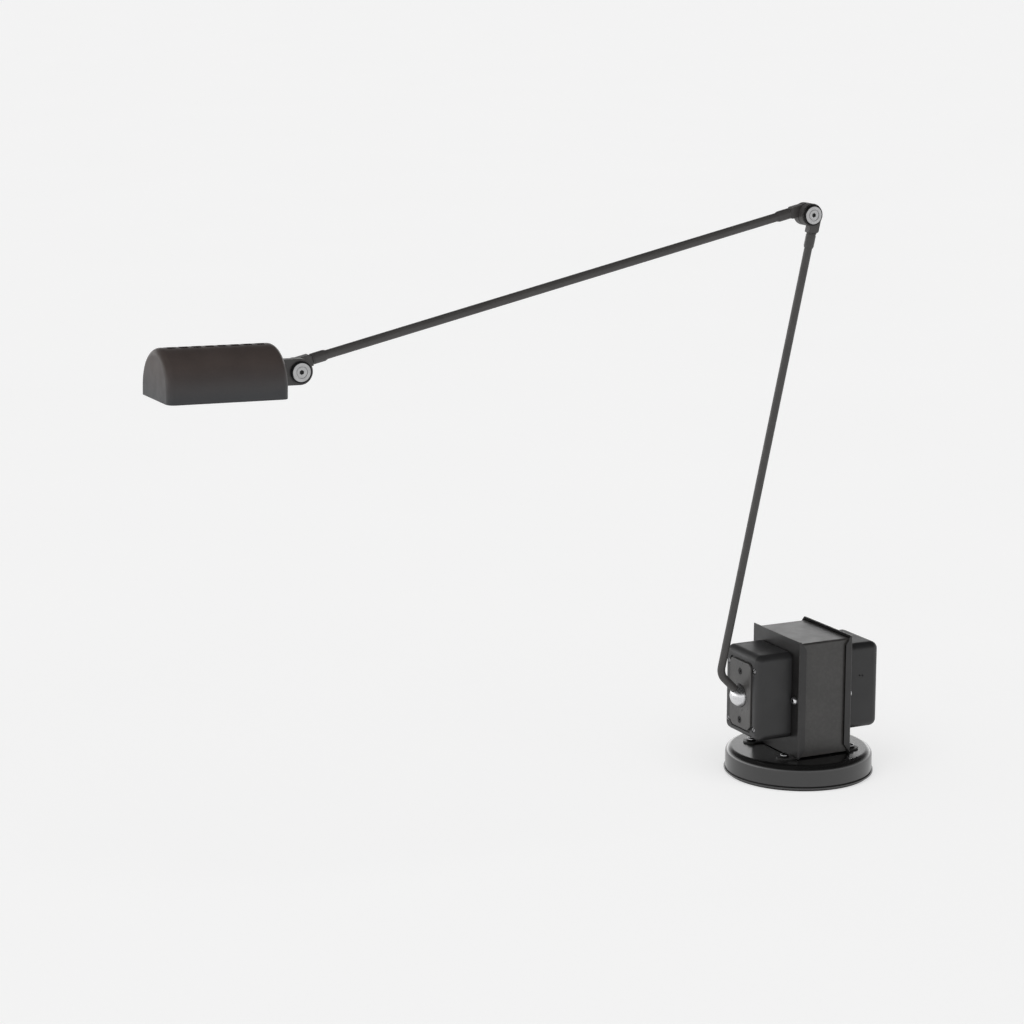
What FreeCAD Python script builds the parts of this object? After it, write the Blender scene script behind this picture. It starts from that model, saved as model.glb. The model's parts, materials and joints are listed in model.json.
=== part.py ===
import FreeCAD, Part
import math
import os

# Architect desk lamp: a round weighted base carries a clamped transformer with two
# end caps; a bent lower arm swivels on the left cap and carries a straight upper
# arm and a small tunnel-shaped lamp head.
#
# Frame: origin at the centre of the base's underside, +Z up, the arms in the XZ
# plane with the head towards -X, the front of the transformer towards -Y.
# Millimetres and degrees throughout.

V = FreeCAD.Vector
X_AXIS = V(1, 0, 0)
Y_AXIS = V(0, 1, 0)
Z_AXIS = V(0, 0, 1)

# --- base -------------------------------------------------------------------
BASE_R = 55.4
BASE_TOP = 19.5
BASE_EDGE_R = 5.0
LIP_R = 56.5
LIP_T = 1.5
LIP_EDGE_R = 0.4
GROOVE_T = 0.4
GROOVE_DEPTH = 0.5
BASE_WALL = 1.5
PAD_T = 1.4
PAD_R = 54.3
PAD_GAP = 0.3
BALLAST_GAP = 0.3
FOOT_SCREW_R = 1.5
FOOT_SCREW_LEN = 12.0
FOOT_HEAD_R = 2.9
FOOT_HEAD_T = 1.9
FOOT_HOLE_R = 1.7
FOOT_WASHER_R = 3.6
FOOT_WASHER_T = 0.6

# --- transformer frame, cover and core, measured from the transformer's middle ----
TRANSFORMER_X = 1.75
FRAME_X = 23.15
FRAME_Y = 33.8
FRAME_TOP = 110.0
SHEET_T = 1.2
FLANGE_W = 5.95
FLANGE_MITRE = 6.5
LUG_X = 29.05
LUG_Y = 24.0
LUG_R = 6.0
COVER_T = 0.7
COVER_TOP = 108.0
COVER_BEND_R = 1.8
COVER_END_GAP = 1.0
COVER_FACE_GAP = 0.7
CORE_END_GAP = 0.2
FRAME_LIFT = 0.6
CORE_Y = 31.2
CORE_MID_Z = 65.0
CORE_HALF_Z = 37.5
LEG_HALF_Z = 12.5
WINDOW_H = 12.5
WINDOW_Y = 18.75
CLAMP_Y = 28.2
CLAMP_Z = 64.5
CLAMP_R = 1.9
CLAMP_HEAD_R = 3.0
CLAMP_HEAD_T = 2.3

# --- coil -------------------------------------------------------------------
COIL_Y = 15.2
BOBBIN_WALL = 1.1
COIL_END_X = 36.6
PRIMARY_X = 29.5
PRIMARY_Z = 18.6

# --- end caps ---------------------------------------------------------------
CAP_END = 53.1
CAP_Y = 24.5
CAP_BOTTOM = 34.2
CAP_TOP = 100.0
CAP_EDGE_R = 5.6
CAP_WALL = 2.2
CAP_STEP = 1.2
CAP_STEP_DEPTH = 1.1
CAP_SCREW_Y = 18.6
CAP_SCREW_Z = (43.0, 88.0)
CAP_SCREW_R = 1.25
CAP_SCREW_HEAD_R = 2.0
CAP_BOSS_R = 2.2
CAP_SEAT_DEPTH = 1.1

# --- arm pivot on the left cap --------------------------------------------------
PIVOT = V(-51.25, 0, 65.2)
BALL_R = 8.5
AXLE_R = 2.4
AXLE_END = -37.2
PLATE_Y = 15.0
PLATE_Z = (40.6, 92.0)
PLATE_RECESS = 1.0
PLATE_T = 1.9
PLATE_EDGE_GAP = 1.4
PLATE_CORNER_R = 4.0
PLATE_SCREW_DZ = 18.7
PLATE_SCREW_R = 1.5
PLATE_HOLE_R = 8.9
SOCKET_R = 12.0
SOCKET_X = -46.2
SOCKET_PLATE_T = 1.5
SPRING_T = 1.4

# --- arms -------------------------------------------------------------------
ELBOW = V(0.75, 0, 422.2)
HEAD = V(-403.25, 0, 336.0)
LOWER_LEAN = 12.4
LOWER_OFFSET = 4.1
UPPER_OFFSET = 3.8
LOWER_TUBE_R = 2.95
UPPER_TUBE_R = 3.2
TUBE_WALL = 0.9
ARM_BEND_R = 10.0
TUBE_SOCKET = 4.5
LEAD_R = 0.55
LEAD_Y = 0.75

# --- disc joints --------------------------------------------------------------
HUB_R = 8.3
HUB_T = 6.4
NECK_W = 8.2
NECK_LEN = 13.0
NECK_SOCKET = 6.0
NECK_CHAMFER = 1.8
FERRULE_LEN = 11.0
FERRULE_WALL = 0.75
SHANK_R = 2.5
WASHER_T = 0.5
WASHER_R = 7.4
FACE_GAP = 0.05
RUN_CLEARANCE = 0.06
SLIP = 0.03
FAR_Y = HUB_T / 2 + WASHER_T + 2 * FACE_GAP + HUB_T / 2
CUP_R = 7.6
CUP_RIM = 0.8
CUP_FLOOR = 0.4
CUP_DEPTH = 1.6
KNOB_R = 6.6
KNOB_T = 1.7
HEX_AF = 3.0
NUT_R = 6.4
NUT_T = 2.4
NUT_CROWN = 0.8

# --- lamp head, measured from the head pivot, nose towards -X --------------------
HEAD_TILT = 1.46
SHADE_END = -17.3
SHADE_LEN = 86.1
SHADE_R = 27.4
SHADE_TOP = 20.3
SHADE_BOTTOM = -14.05
SHADE_EDGE_R = 5.5
SHADE_WALL = 1.0
VENT_COUNT = 8
VENT_PITCH = 9.04
VENT_W = 6.3
VENT_LEN = 7.0
BRACKET_R = 9.0
BRACKET_END = -30.0
REFLECTOR_R = 24.4
REFLECTOR_T = 0.6
REFLECTOR_BOTTOM = -11.6
REFLECTOR_NOSE_GAP = 5.0
BULB_Z = 2.0
BULB_R = 5.5
BULB_BASE = -41.0
BULB_TIP = -72.0
HOLDER_X = (-39.0, -30.2)
HOLDER_Y = 7.3
HOLDER_SCREW = (5.4, -2.0)
CLIP_Y = 9.2
CLIP_Z = -5.5
HOLDER_Z = (-4.5, 8.5)
PIN_R = 0.6
PIN_Y = 3.175

# --- switch and cord inlet on the right cap --------------------------------------
SWITCH_Z = 76.0
BEZEL_Y = 7.5
BEZEL_Z = 10.5
BEZEL_T = 1.5
SWITCH_BACK = 38.5
ROCKER_Y = 4.8
ROCKER_Z = 7.6
ROCKER_PIVOT_X = CAP_END - 3.5
ROCKER_TILT = 9.0
INLET = V(40.0, CAP_Y, 46.0)
INLET_R = 2.4
MARK = V(36.85, -CAP_Y, 75.6)
MARK_R = 0.8


def box(x, y, z):
    """Block between two limits on each axis."""
    return Part.makeBox(x[1] - x[0], y[1] - y[0], z[1] - z[0], V(x[0], y[0], z[0]))


def rod(radius, length, start, direction):
    return Part.makeCylinder(radius, length, start, direction)


def ring(outer, inner, length, start, direction):
    return rod(outer, length, start, direction).cut(rod(inner, length, start, direction))


def prism(points, direction):
    """Solid from a closed polygon of points moved along a direction."""
    return Part.Face(Part.makePolygon(points + [points[0]])).extrude(direction)


def hexagon(across_flats, length, start, direction):
    """Hexagonal bar along X or Y."""
    radius = across_flats / math.sqrt(3)
    points = []
    for step in range(6):
        angle = math.radians(60 * step)
        a = radius * math.cos(angle)
        b = radius * math.sin(angle)
        offset = V(0, a, b) if abs(direction.x) > 0.5 else V(a, 0, b)
        points.append(start + offset)
    return prism(points, direction * length)


def fuse(shapes):
    first = shapes[0]
    return first.multiFuse(shapes[1:]).removeSplitter() if len(shapes) > 1 else first


def round_edges(shape, radius, chosen):
    edges = [edge for edge in shape.Edges if chosen(edge)]
    return shape.makeFillet(radius, edges)


def mirrored_x(shape):
    return shape.mirror(V(0, 0, 0), X_AXIS)


def save(name, shape):
    """Write one node; a group of pieces is written as one compound."""
    pieces = shape if isinstance(shape, list) else [shape]
    solids = [solid for piece in pieces for solid in piece.Solids]
    result = solids[0] if len(solids) == 1 else Part.makeCompound(solids)
    result.exportStep("parts/" + name + ".step")


# --- base -------------------------------------------------------------------

def lug_centres():
    return [V(TRANSFORMER_X + sx * LUG_X, sy * LUG_Y, BASE_TOP) for sx in (-1, 1) for sy in (-1, 1)]


def base_cover():
    """Spun cover: rounded shoulder, upright side, and a flared lip below a fine groove."""
    bottom = PAD_T + PAD_GAP
    inner_r = BASE_R - BASE_WALL
    skin = rod(BASE_R, BASE_TOP - bottom, V(0, 0, bottom), Z_AXIS)
    skin = round_edges(skin, BASE_EDGE_R, lambda e: e.BoundBox.ZMin > BASE_TOP - 0.1)
    inside = rod(inner_r, BASE_TOP - BASE_WALL - bottom, V(0, 0, bottom), Z_AXIS)
    inside = round_edges(inside, BASE_EDGE_R - BASE_WALL,
                         lambda e: e.BoundBox.ZMin > BASE_TOP - BASE_WALL - 0.1)
    lip = rod(LIP_R, LIP_T, V(0, 0, bottom), Z_AXIS)
    lip = round_edges(lip, LIP_EDGE_R, lambda e: e.BoundBox.ZLength < 0.01)
    groove = ring(LIP_R, BASE_R - GROOVE_DEPTH, GROOVE_T, V(0, 0, bottom + LIP_T), Z_AXIS)
    shell = skin.fuse(lip).cut(groove).cut(inside)
    for centre in lug_centres():
        shell = shell.cut(rod(FOOT_HOLE_R, 4.0, centre - Z_AXIS * 3.0, Z_AXIS))
    return shell


def base_ballast():
    top = BASE_TOP - BASE_WALL
    radius = BASE_R - BASE_WALL - BALLAST_GAP
    block = rod(radius, top - PAD_T, V(0, 0, PAD_T), Z_AXIS)
    block = round_edges(block, BASE_EDGE_R, lambda e: e.BoundBox.ZMin > top - 0.1)
    for centre in lug_centres():
        block = block.cut(rod(FOOT_SCREW_R, 11.0, V(centre.x, centre.y, top - 10.0), Z_AXIS))
    return block


def base_pad():
    return rod(PAD_R, PAD_T, V(0, 0, 0), Z_AXIS)


def foot_washers():
    start = BASE_TOP + SHEET_T
    inner_r = FOOT_SCREW_R + 0.1
    return [ring(FOOT_WASHER_R, inner_r, FOOT_WASHER_T, V(c.x, c.y, start), Z_AXIS) for c in lug_centres()]


def foot_screws():
    """Button-head screws through the frames' lugs into the ballast."""
    seat = BASE_TOP + SHEET_T + FOOT_WASHER_T
    head_top = seat + FOOT_HEAD_T
    screws = []
    for c in lug_centres():
        head = rod(FOOT_HEAD_R, FOOT_HEAD_T, V(c.x, c.y, seat), Z_AXIS)
        head = round_edges(head, 0.9, lambda e: e.BoundBox.ZMin > head_top - 0.1)
        head = head.cut(rod(1.2, 1.2, V(c.x, c.y, head_top - 1.0), Z_AXIS))
        shank = rod(FOOT_SCREW_R, FOOT_SCREW_LEN, V(c.x, c.y, seat - FOOT_SCREW_LEN), Z_AXIS)
        screws.append(head.fuse(shank))
    return screws


# --- transformer ---------------------------------------------------------------

def flange(side_y):
    """Strip folded over the cover's front or back, with mitred ends."""
    x_in = FRAME_X - FLANGE_W
    low = BASE_TOP + FRAME_LIFT
    outline = [
        (FRAME_X, low), (FRAME_X, FRAME_TOP), (FRAME_X - SHEET_T, FRAME_TOP),
        (x_in, FRAME_TOP - FLANGE_MITRE), (x_in, low + FLANGE_MITRE),
        (FRAME_X - SHEET_T, low),
    ]
    y = side_y * FRAME_Y
    return prism([V(px, y, pz) for px, pz in outline], Y_AXIS * (-side_y * SHEET_T))


def end_frame():
    """Right-hand clamping frame of the transformer; the left one is its mirror."""
    x_in = FRAME_X - SHEET_T
    pieces = [box((x_in, FRAME_X), (-FRAME_Y, FRAME_Y), (BASE_TOP + FRAME_LIFT, FRAME_TOP))]
    for side in (-1, 1):
        y = side * LUG_Y
        pieces.append(flange(side))
        pieces.append(box((x_in, LUG_X), (y - LUG_R, y + LUG_R), (BASE_TOP, BASE_TOP + SHEET_T)))
        pieces.append(rod(LUG_R, SHEET_T, V(LUG_X, y, BASE_TOP), Z_AXIS))
    frame = fuse(pieces)
    half_window = LEG_HALF_Z + WINDOW_H + 1.0
    window = box((x_in - 1, FRAME_X + 1), (-COIL_Y - 1.4, COIL_Y + 1.4),
                 (CORE_MID_Z - half_window, CORE_MID_Z + half_window))
    frame = frame.cut(window)
    for side in (-1, 1):
        frame = frame.cut(rod(FOOT_HOLE_R, 3.0, V(LUG_X, side * LUG_Y, BASE_TOP - 1), Z_AXIS))
        frame = frame.cut(rod(CLAMP_R, 4.0, V(x_in - 1, side * CLAMP_Y, CLAMP_Z), X_AXIS))
        for z in CAP_SCREW_Z:
            frame = frame.cut(rod(CAP_SCREW_R, 4.0, V(x_in - 1, side * CAP_SCREW_Y, z), X_AXIS))
    return frame


def transformer_cover():
    """Sheet wrapped over the core's front, top and back, between the two frames."""
    half_x = FRAME_X - SHEET_T - COVER_END_GAP
    half_y = FRAME_Y - SHEET_T - COVER_FACE_GAP
    low = BASE_TOP + 2 * FRAME_LIFT
    outer = box((-half_x, half_x), (-half_y, half_y), (low, COVER_TOP))
    outer = round_edges(outer, COVER_BEND_R, lambda e: e.BoundBox.ZMin > COVER_TOP - 0.1
                        and e.BoundBox.XLength > half_x)
    inner_y = half_y - COVER_T
    inner = box((-half_x - 1, half_x + 1), (-inner_y, inner_y), (low - 1, COVER_TOP - COVER_T))
    return outer.cut(inner)


def core():
    half_x = FRAME_X - SHEET_T - CORE_END_GAP
    block = box((-half_x, half_x), (-CORE_Y, CORE_Y),
                (CORE_MID_Z - CORE_HALF_Z, CORE_MID_Z + CORE_HALF_Z))
    for side in (-1, 1):
        z = CORE_MID_Z + side * (LEG_HALF_Z + WINDOW_H / 2)
        block = block.cut(box((-half_x - 1, half_x + 1), (-WINDOW_Y, WINDOW_Y),
                              (z - WINDOW_H / 2, z + WINDOW_H / 2)))
        block = block.cut(rod(CLAMP_R, 2 * half_x + 2, V(-half_x - 1, side * CLAMP_Y, CLAMP_Z), X_AXIS))
    return block


def square_ring(outer_x, outer_z, inner_x, inner_z, y):
    """Rectangular tube round the core's middle leg, along Y."""
    outer = box((-outer_x, outer_x), y, (CORE_MID_Z - outer_z, CORE_MID_Z + outer_z))
    inner = box((-inner_x, inner_x), (y[0] - 1, y[1] + 1), (CORE_MID_Z - inner_z, CORE_MID_Z + inner_z))
    return outer.cut(inner)


def bobbin():
    leg_x = FRAME_X - SHEET_T
    leg_z = LEG_HALF_Z + 0.2
    full_z = LEG_HALF_Z + WINDOW_H - 0.2
    end = COIL_Y + BOBBIN_WALL
    tube = square_ring(leg_x + BOBBIN_WALL, leg_z + BOBBIN_WALL, leg_x, leg_z, (-end, end))
    back = square_ring(COIL_END_X, full_z, leg_x, leg_z, (COIL_Y, end))
    front = square_ring(COIL_END_X, full_z, leg_x, leg_z, (-end, -COIL_Y))
    return fuse([tube, back, front])


def primary_winding():
    inner_x = FRAME_X - SHEET_T + BOBBIN_WALL + 0.1
    inner_z = LEG_HALF_Z + 0.3 + BOBBIN_WALL
    return square_ring(PRIMARY_X, PRIMARY_Z, inner_x, inner_z, (-COIL_Y + 0.1, COIL_Y - 0.1))


def secondary_winding():
    outer_z = LEG_HALF_Z + WINDOW_H - 0.6
    return square_ring(COIL_END_X - 0.6, outer_z, PRIMARY_X + 0.2, PRIMARY_Z + 0.2,
                       (-COIL_Y + 0.1, COIL_Y - 0.1))


def button_head(centre, direction):
    """Low domed head with a hexagon socket, standing on a face."""
    head = rod(CLAMP_HEAD_R, CLAMP_HEAD_T, centre, direction)
    end_x = centre.x + direction.x * CLAMP_HEAD_T
    head = round_edges(head, 1.1, lambda e: abs(e.BoundBox.XMin - end_x) < 0.01
                       and e.BoundBox.XLength < 0.01)
    socket_start = centre + direction * (CLAMP_HEAD_T - 1.2)
    return head.cut(hexagon(2.2, 2.0, socket_start, direction))


def clamp_bolts():
    bolts = []
    for side in (-1, 1):
        start = V(-FRAME_X, side * CLAMP_Y, CLAMP_Z)
        shank = rod(CLAMP_R - 0.1, 2 * FRAME_X + 1.0, start, X_AXIS)
        bolts.append(button_head(start, -X_AXIS).fuse(shank))
    return bolts


def clamp_nuts():
    nuts = []
    for side in (-1, 1):
        start = V(FRAME_X, side * CLAMP_Y, CLAMP_Z)
        nut = button_head(start, X_AXIS)
        nuts.append(nut.cut(rod(CLAMP_R - 0.1, 1.05, start, X_AXIS)))
    return nuts


# --- end caps ---------------------------------------------------------------

def cap_shell():
    """Right-hand cap without its openings: a rounded box that is open at the frame."""
    outer = box((FRAME_X, CAP_END), (-CAP_Y, CAP_Y), (CAP_BOTTOM, CAP_TOP))
    outer = round_edges(outer, CAP_EDGE_R, lambda e: e.BoundBox.XMax > FRAME_X + 1)
    y = CAP_Y - CAP_WALL
    inner = box((FRAME_X - 5, CAP_END - CAP_WALL), (-y, y), (CAP_BOTTOM + CAP_WALL, CAP_TOP - CAP_WALL))
    inner = round_edges(inner, CAP_EDGE_R - CAP_WALL, lambda e: e.BoundBox.XMax > FRAME_X)
    shell = outer.cut(inner)
    bosses = [shell]
    boss_length = CAP_END - FRAME_X - 1.5
    for side in (-1, 1):
        for z in CAP_SCREW_Z:
            bosses.append(rod(CAP_BOSS_R, boss_length, V(FRAME_X, side * CAP_SCREW_Y, z), X_AXIS))
    shell = fuse(bosses)
    for side in (-1, 1):
        for z in CAP_SCREW_Z:
            axis_start = V(FRAME_X - 1, side * CAP_SCREW_Y, z)
            shell = shell.cut(rod(CAP_SCREW_R + 0.15, 40.0, axis_start, X_AXIS))
            seat = V(CAP_END - CAP_SEAT_DEPTH, axis_start.y, z)
            shell = shell.cut(rod(CAP_SCREW_HEAD_R + 0.3, 5.0, seat, X_AXIS))
    return shell.cut(rim_step())


def rim_step():
    """Shallow step all round the cap's open end, which leaves a shadow line at the frame."""
    x = (FRAME_X - 0.1, FRAME_X + CAP_STEP)
    around = box(x, (-CAP_Y - 1, CAP_Y + 1), (CAP_BOTTOM - 1, CAP_TOP + 1))
    y = CAP_Y - CAP_STEP_DEPTH
    skirt = box(x, (-y, y), (CAP_BOTTOM + CAP_STEP_DEPTH, CAP_TOP - CAP_STEP_DEPTH))
    skirt_r = CAP_EDGE_R - CAP_STEP_DEPTH
    return around.cut(round_edges(skirt, skirt_r, lambda e: e.BoundBox.XLength > CAP_STEP))


def cap_screws():
    """Four long screws of the right-hand cap, heads sunk in its end."""
    screws = []
    for side in (-1, 1):
        for z in CAP_SCREW_Z:
            tip = V(FRAME_X - SHEET_T + 0.1, side * CAP_SCREW_Y, z)
            seat = CAP_END - CAP_SEAT_DEPTH
            shank = rod(CAP_SCREW_R, seat - tip.x + 0.4, tip, X_AXIS)
            head = rod(CAP_SCREW_HEAD_R, 1.0, V(seat, tip.y, z), X_AXIS)
            slot = box((seat + 0.4, seat + 2.0), (tip.y - 0.35, tip.y + 0.35), (z - 3, z + 3))
            screws.append(shank.fuse(head).cut(slot))
    return screws


def plate_outline(x, thickness, grow):
    """Arm plate blank: rounded upper corners, chamfered lower corners."""
    y = PLATE_Y + grow
    low = PLATE_Z[0] - grow
    high = PLATE_Z[1] + grow
    blank = box((x, x + thickness), (-y, y), (low, high))
    top_edges = lambda e: e.BoundBox.XLength > thickness - 0.01 and e.BoundBox.ZMin > high - 0.1
    blank = round_edges(blank, PLATE_CORNER_R, top_edges)
    low_edges = [e for e in blank.Edges if e.BoundBox.XLength > thickness - 0.01
                 and e.BoundBox.ZMax < low + 0.1]
    return blank.makeChamfer(PLATE_CORNER_R, low_edges)


def plate_screw_heights():
    return (PIVOT.z - PLATE_SCREW_DZ, PIVOT.z + PLATE_SCREW_DZ)


def left_end_cap():
    shell = mirrored_x(cap_shell())
    recess = plate_outline(-CAP_END - 1.0, 1.0 + PLATE_RECESS, PLATE_EDGE_GAP)
    shell = shell.cut(recess)
    wall_in = -CAP_END + CAP_WALL
    bosses = [rod(3.4, SOCKET_X - wall_in, V(wall_in, 0, z), X_AXIS) for z in plate_screw_heights()]
    shell = fuse([shell] + bosses)
    for z in plate_screw_heights():
        shell = shell.cut(rod(PLATE_SCREW_R + 0.1, 12.0, V(-CAP_END - 1, 0, z), X_AXIS))
    return shell.cut(rod(PLATE_HOLE_R, 5.0, V(-CAP_END - 1, PIVOT.y, PIVOT.z), X_AXIS))


def arm_plate():
    start = -CAP_END + PLATE_RECESS - PLATE_T
    plate = plate_outline(start, PLATE_T, 0.0)
    plate = round_edges(plate, 0.5, lambda e: e.BoundBox.XMax < start + 0.01)
    plate = plate.cut(rod(PLATE_HOLE_R, 5.0, V(start - 1, 0, PIVOT.z), X_AXIS))
    for z in plate_screw_heights():
        plate = plate.cut(rod(PLATE_SCREW_R + 0.1, 5.0, V(start - 1, 0, z), X_AXIS))
        plate = plate.cut(rod(2.6, 1.0, V(start, 0, z), X_AXIS))
    return plate


def arm_plate_screws():
    """Two screws that clamp the arm plate, the cap wall and the socket plate."""
    start = -CAP_END + PLATE_RECESS - PLATE_T
    screws = []
    for z in plate_screw_heights():
        head = rod(2.4, 0.9, V(start + 0.1, 0, z), X_AXIS)
        shank = rod(PLATE_SCREW_R, SOCKET_X + SOCKET_PLATE_T - start - 0.5, V(start + 0.5, 0, z), X_AXIS)
        screws.append(head.fuse(shank).cut(hexagon(1.6, 0.6, V(start, 0, z), X_AXIS)))
    return screws


def ball_socket():
    wall_in = -CAP_END + CAP_WALL
    body = rod(SOCKET_R, SOCKET_X - wall_in, V(wall_in, 0, PIVOT.z), X_AXIS)
    body = body.cut(Part.makeSphere(BALL_R + RUN_CLEARANCE, PIVOT - X_AXIS * TRANSFORMER_X))
    return body.cut(rod(AXLE_R + 1.0, 10.0, V(wall_in, 0, PIVOT.z), X_AXIS))


def socket_plate():
    plate = box((SOCKET_X, SOCKET_X + SOCKET_PLATE_T), (-11, 11), (PIVOT.z - 23, PIVOT.z + 23))
    plate = round_edges(plate, 4.0, lambda e: e.BoundBox.XLength > SOCKET_PLATE_T - 0.01)
    plate = plate.cut(rod(AXLE_R + 0.3, 4.0, V(SOCKET_X - 1, 0, PIVOT.z), X_AXIS))
    for z in plate_screw_heights():
        plate = plate.cut(rod(PLATE_SCREW_R, 4.0, V(SOCKET_X - 1, 0, z), X_AXIS))
    return plate


def right_end_cap():
    shell = cap_shell()
    opening = box((CAP_END - 5, CAP_END + 1), (-BEZEL_Y + 1, BEZEL_Y - 1),
                  (SWITCH_Z - BEZEL_Z + 1, SWITCH_Z + BEZEL_Z - 1))
    shell = shell.cut(opening)
    shell = shell.cut(rod(INLET_R + 2.0, 6.0, INLET - Y_AXIS * 4, Y_AXIS))
    for offset in (V(-1.2, -0.4, 0.2), V(1.4, -0.4, -0.2)):
        shell = shell.cut(rod(MARK_R, 1.0, MARK + offset, Y_AXIS))
    return shell


# --- switch, terminals and cord inlet --------------------------------------------

def switch_body():
    bezel = box((CAP_END, CAP_END + BEZEL_T), (-BEZEL_Y, BEZEL_Y), (SWITCH_Z - BEZEL_Z, SWITCH_Z + BEZEL_Z))
    bezel = round_edges(bezel, 1.2, lambda e: e.BoundBox.XLength > BEZEL_T - 0.01)
    case = box((SWITCH_BACK, CAP_END), (-BEZEL_Y + 1.2, BEZEL_Y - 1.2),
               (SWITCH_Z - BEZEL_Z + 1.2, SWITCH_Z + BEZEL_Z - 1.2))
    pocket = box((ROCKER_PIVOT_X - 4, CAP_END + 3), (-ROCKER_Y - 0.35, ROCKER_Y + 0.35),
                 (SWITCH_Z - ROCKER_Z - 0.9, SWITCH_Z + ROCKER_Z + 0.9))
    pin = rod(0.9, 2 * BEZEL_Y - 3, V(ROCKER_PIVOT_X, -BEZEL_Y + 1.5, SWITCH_Z), Y_AXIS)
    return fuse([bezel, case]).cut(pocket).fuse(pin)


def switch_rocker():
    """Rocker with two pressed faces, resting with its lower end pushed in."""
    back = ROCKER_PIVOT_X - 1.9
    front = CAP_END + BEZEL_T
    outline = [
        (back, -2.5), (back, 2.5), (front - 2.6, ROCKER_Z), (front + 0.9, ROCKER_Z - 0.4),
        (front - 0.5, 0.0), (front + 0.9, 0.4 - ROCKER_Z), (front - 2.6, -ROCKER_Z),
    ]
    points = [V(px, -ROCKER_Y, SWITCH_Z + pz) for px, pz in outline]
    body = prism(points, Y_AXIS * (2 * ROCKER_Y))
    body = body.cut(rod(0.97, 2 * ROCKER_Y + 2, V(ROCKER_PIVOT_X, -ROCKER_Y - 1, SWITCH_Z), Y_AXIS))
    body.rotate(V(ROCKER_PIVOT_X, 0, SWITCH_Z), Y_AXIS, ROCKER_TILT)
    return body


def terminal_block():
    block = box((COIL_END_X + 1.0, CAP_END - CAP_WALL), (-13, 13), (44.5, 54.5))
    for step in range(3):
        y = -8.0 + 8.0 * step
        block = block.cut(rod(1.6, 6.0, V(43.5, y, 50.0), Z_AXIS))
    return block


def terminal_screws():
    return [rod(1.5, 3.0, V(43.5, -8.0 + 8.0 * step, 50.1), Z_AXIS) for step in range(3)]


def thermal_fuse():
    return rod(1.6, 11.0, V(COIL_END_X + 1.7, -5.5, 60.5), Y_AXIS)


def cord_grommet():
    outside = ring(INLET_R + 3.2, INLET_R, 1.6, INLET, Y_AXIS)
    neck = ring(INLET_R + 2.0, INLET_R, CAP_WALL, INLET - Y_AXIS * CAP_WALL, Y_AXIS)
    inside = ring(INLET_R + 3.0, INLET_R, 1.2, INLET - Y_AXIS * (CAP_WALL + 1.2), Y_AXIS)
    return fuse([outside, neck, inside])


# --- arms -------------------------------------------------------------------

def lower_direction():
    lean = math.radians(LOWER_LEAN)
    return V(math.sin(lean), 0, math.cos(lean))


def lower_axis_point():
    """Point of the lower tube's axis beside the elbow pivot."""
    lean = math.radians(LOWER_LEAN)
    return ELBOW + V(math.cos(lean), 0, -math.sin(lean)) * LOWER_OFFSET


def arm_corner():
    """Where the tube's slanted foot, at 45 degrees, meets its long straight run."""
    top = lower_axis_point()
    along = lower_direction()
    reach = (top.x + top.z - PIVOT.x - PIVOT.z) / (along.x + along.z)
    return top - along * reach


def lower_path(start_from_ball, end_from_elbow, shift_y):
    """Centre line of the lower tube: slanted foot, one bend, long straight run."""
    corner = arm_corner()
    foot = V(1, 0, -1).normalize()
    along = lower_direction()
    turn = math.pi - (foot.getAngle(along))
    tangent = ARM_BEND_R * math.tan(turn / 2)
    start = PIVOT - foot * start_from_ball
    first = corner + foot * tangent
    second = corner + along * tangent
    bisector = (foot + along).normalize()
    centre = corner + bisector * (ARM_BEND_R / math.cos(turn / 2))
    middle = centre - bisector * ARM_BEND_R
    end = lower_axis_point() - along * end_from_elbow
    shift = Y_AXIS * shift_y
    return Part.Wire([
        Part.LineSegment(start + shift, first + shift).toShape(),
        Part.Arc(first + shift, middle + shift, second + shift).toShape(),
        Part.LineSegment(second + shift, end + shift).toShape(),
    ])


def sweep(path, radius):
    first = path.Edges[0]
    start = first.valueAt(first.FirstParameter)
    profile = Part.Wire(Part.makeCircle(radius, start, first.tangentAt(first.FirstParameter)))
    return path.makePipeShell([profile], True, False)


def lower_arm_tube():
    path = lower_path(TUBE_SOCKET, NECK_LEN - NECK_SOCKET, 0)
    return sweep(path, LOWER_TUBE_R).cut(sweep(path, LOWER_TUBE_R - TUBE_WALL))


def lower_arm_leads():
    return [sweep(lower_path(TUBE_SOCKET + 1, NECK_LEN - NECK_SOCKET + 1, y), LEAD_R)
            for y in (-LEAD_Y, LEAD_Y)]


def pivot_ball():
    foot = V(-1, 0, 1).normalize()
    ball = Part.makeSphere(BALL_R, PIVOT)
    flat = SOCKET_X + TRANSFORMER_X - FACE_GAP
    ball = ball.cut(rod(BALL_R, BALL_R, V(flat, 0, PIVOT.z), X_AXIS))
    ball = ball.fuse(rod(AXLE_R, AXLE_END - PIVOT.x, PIVOT, X_AXIS))
    ball = ball.cut(rod(LOWER_TUBE_R + SLIP, 10.0, PIVOT + foot * TUBE_SOCKET, foot))
    ball = ball.cut(rod(1.3, 20.0, PIVOT, X_AXIS))
    return ball.cut(rod(1.3, TUBE_SOCKET + 0.2, PIVOT, foot))


def axle_spring():
    start = SOCKET_X + TRANSFORMER_X + SOCKET_PLATE_T + FACE_GAP
    return ring(6.0, AXLE_R, SPRING_T, V(start, 0, PIVOT.z), X_AXIS)


def axle_nut():
    start = SOCKET_X + TRANSFORMER_X + SOCKET_PLATE_T + FACE_GAP + SPRING_T
    nut = hexagon(8.0, 3.2, V(start, 0, PIVOT.z), X_AXIS)
    return nut.cut(rod(AXLE_R, 5.0, V(start - 1, 0, PIVOT.z), X_AXIS))


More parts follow.
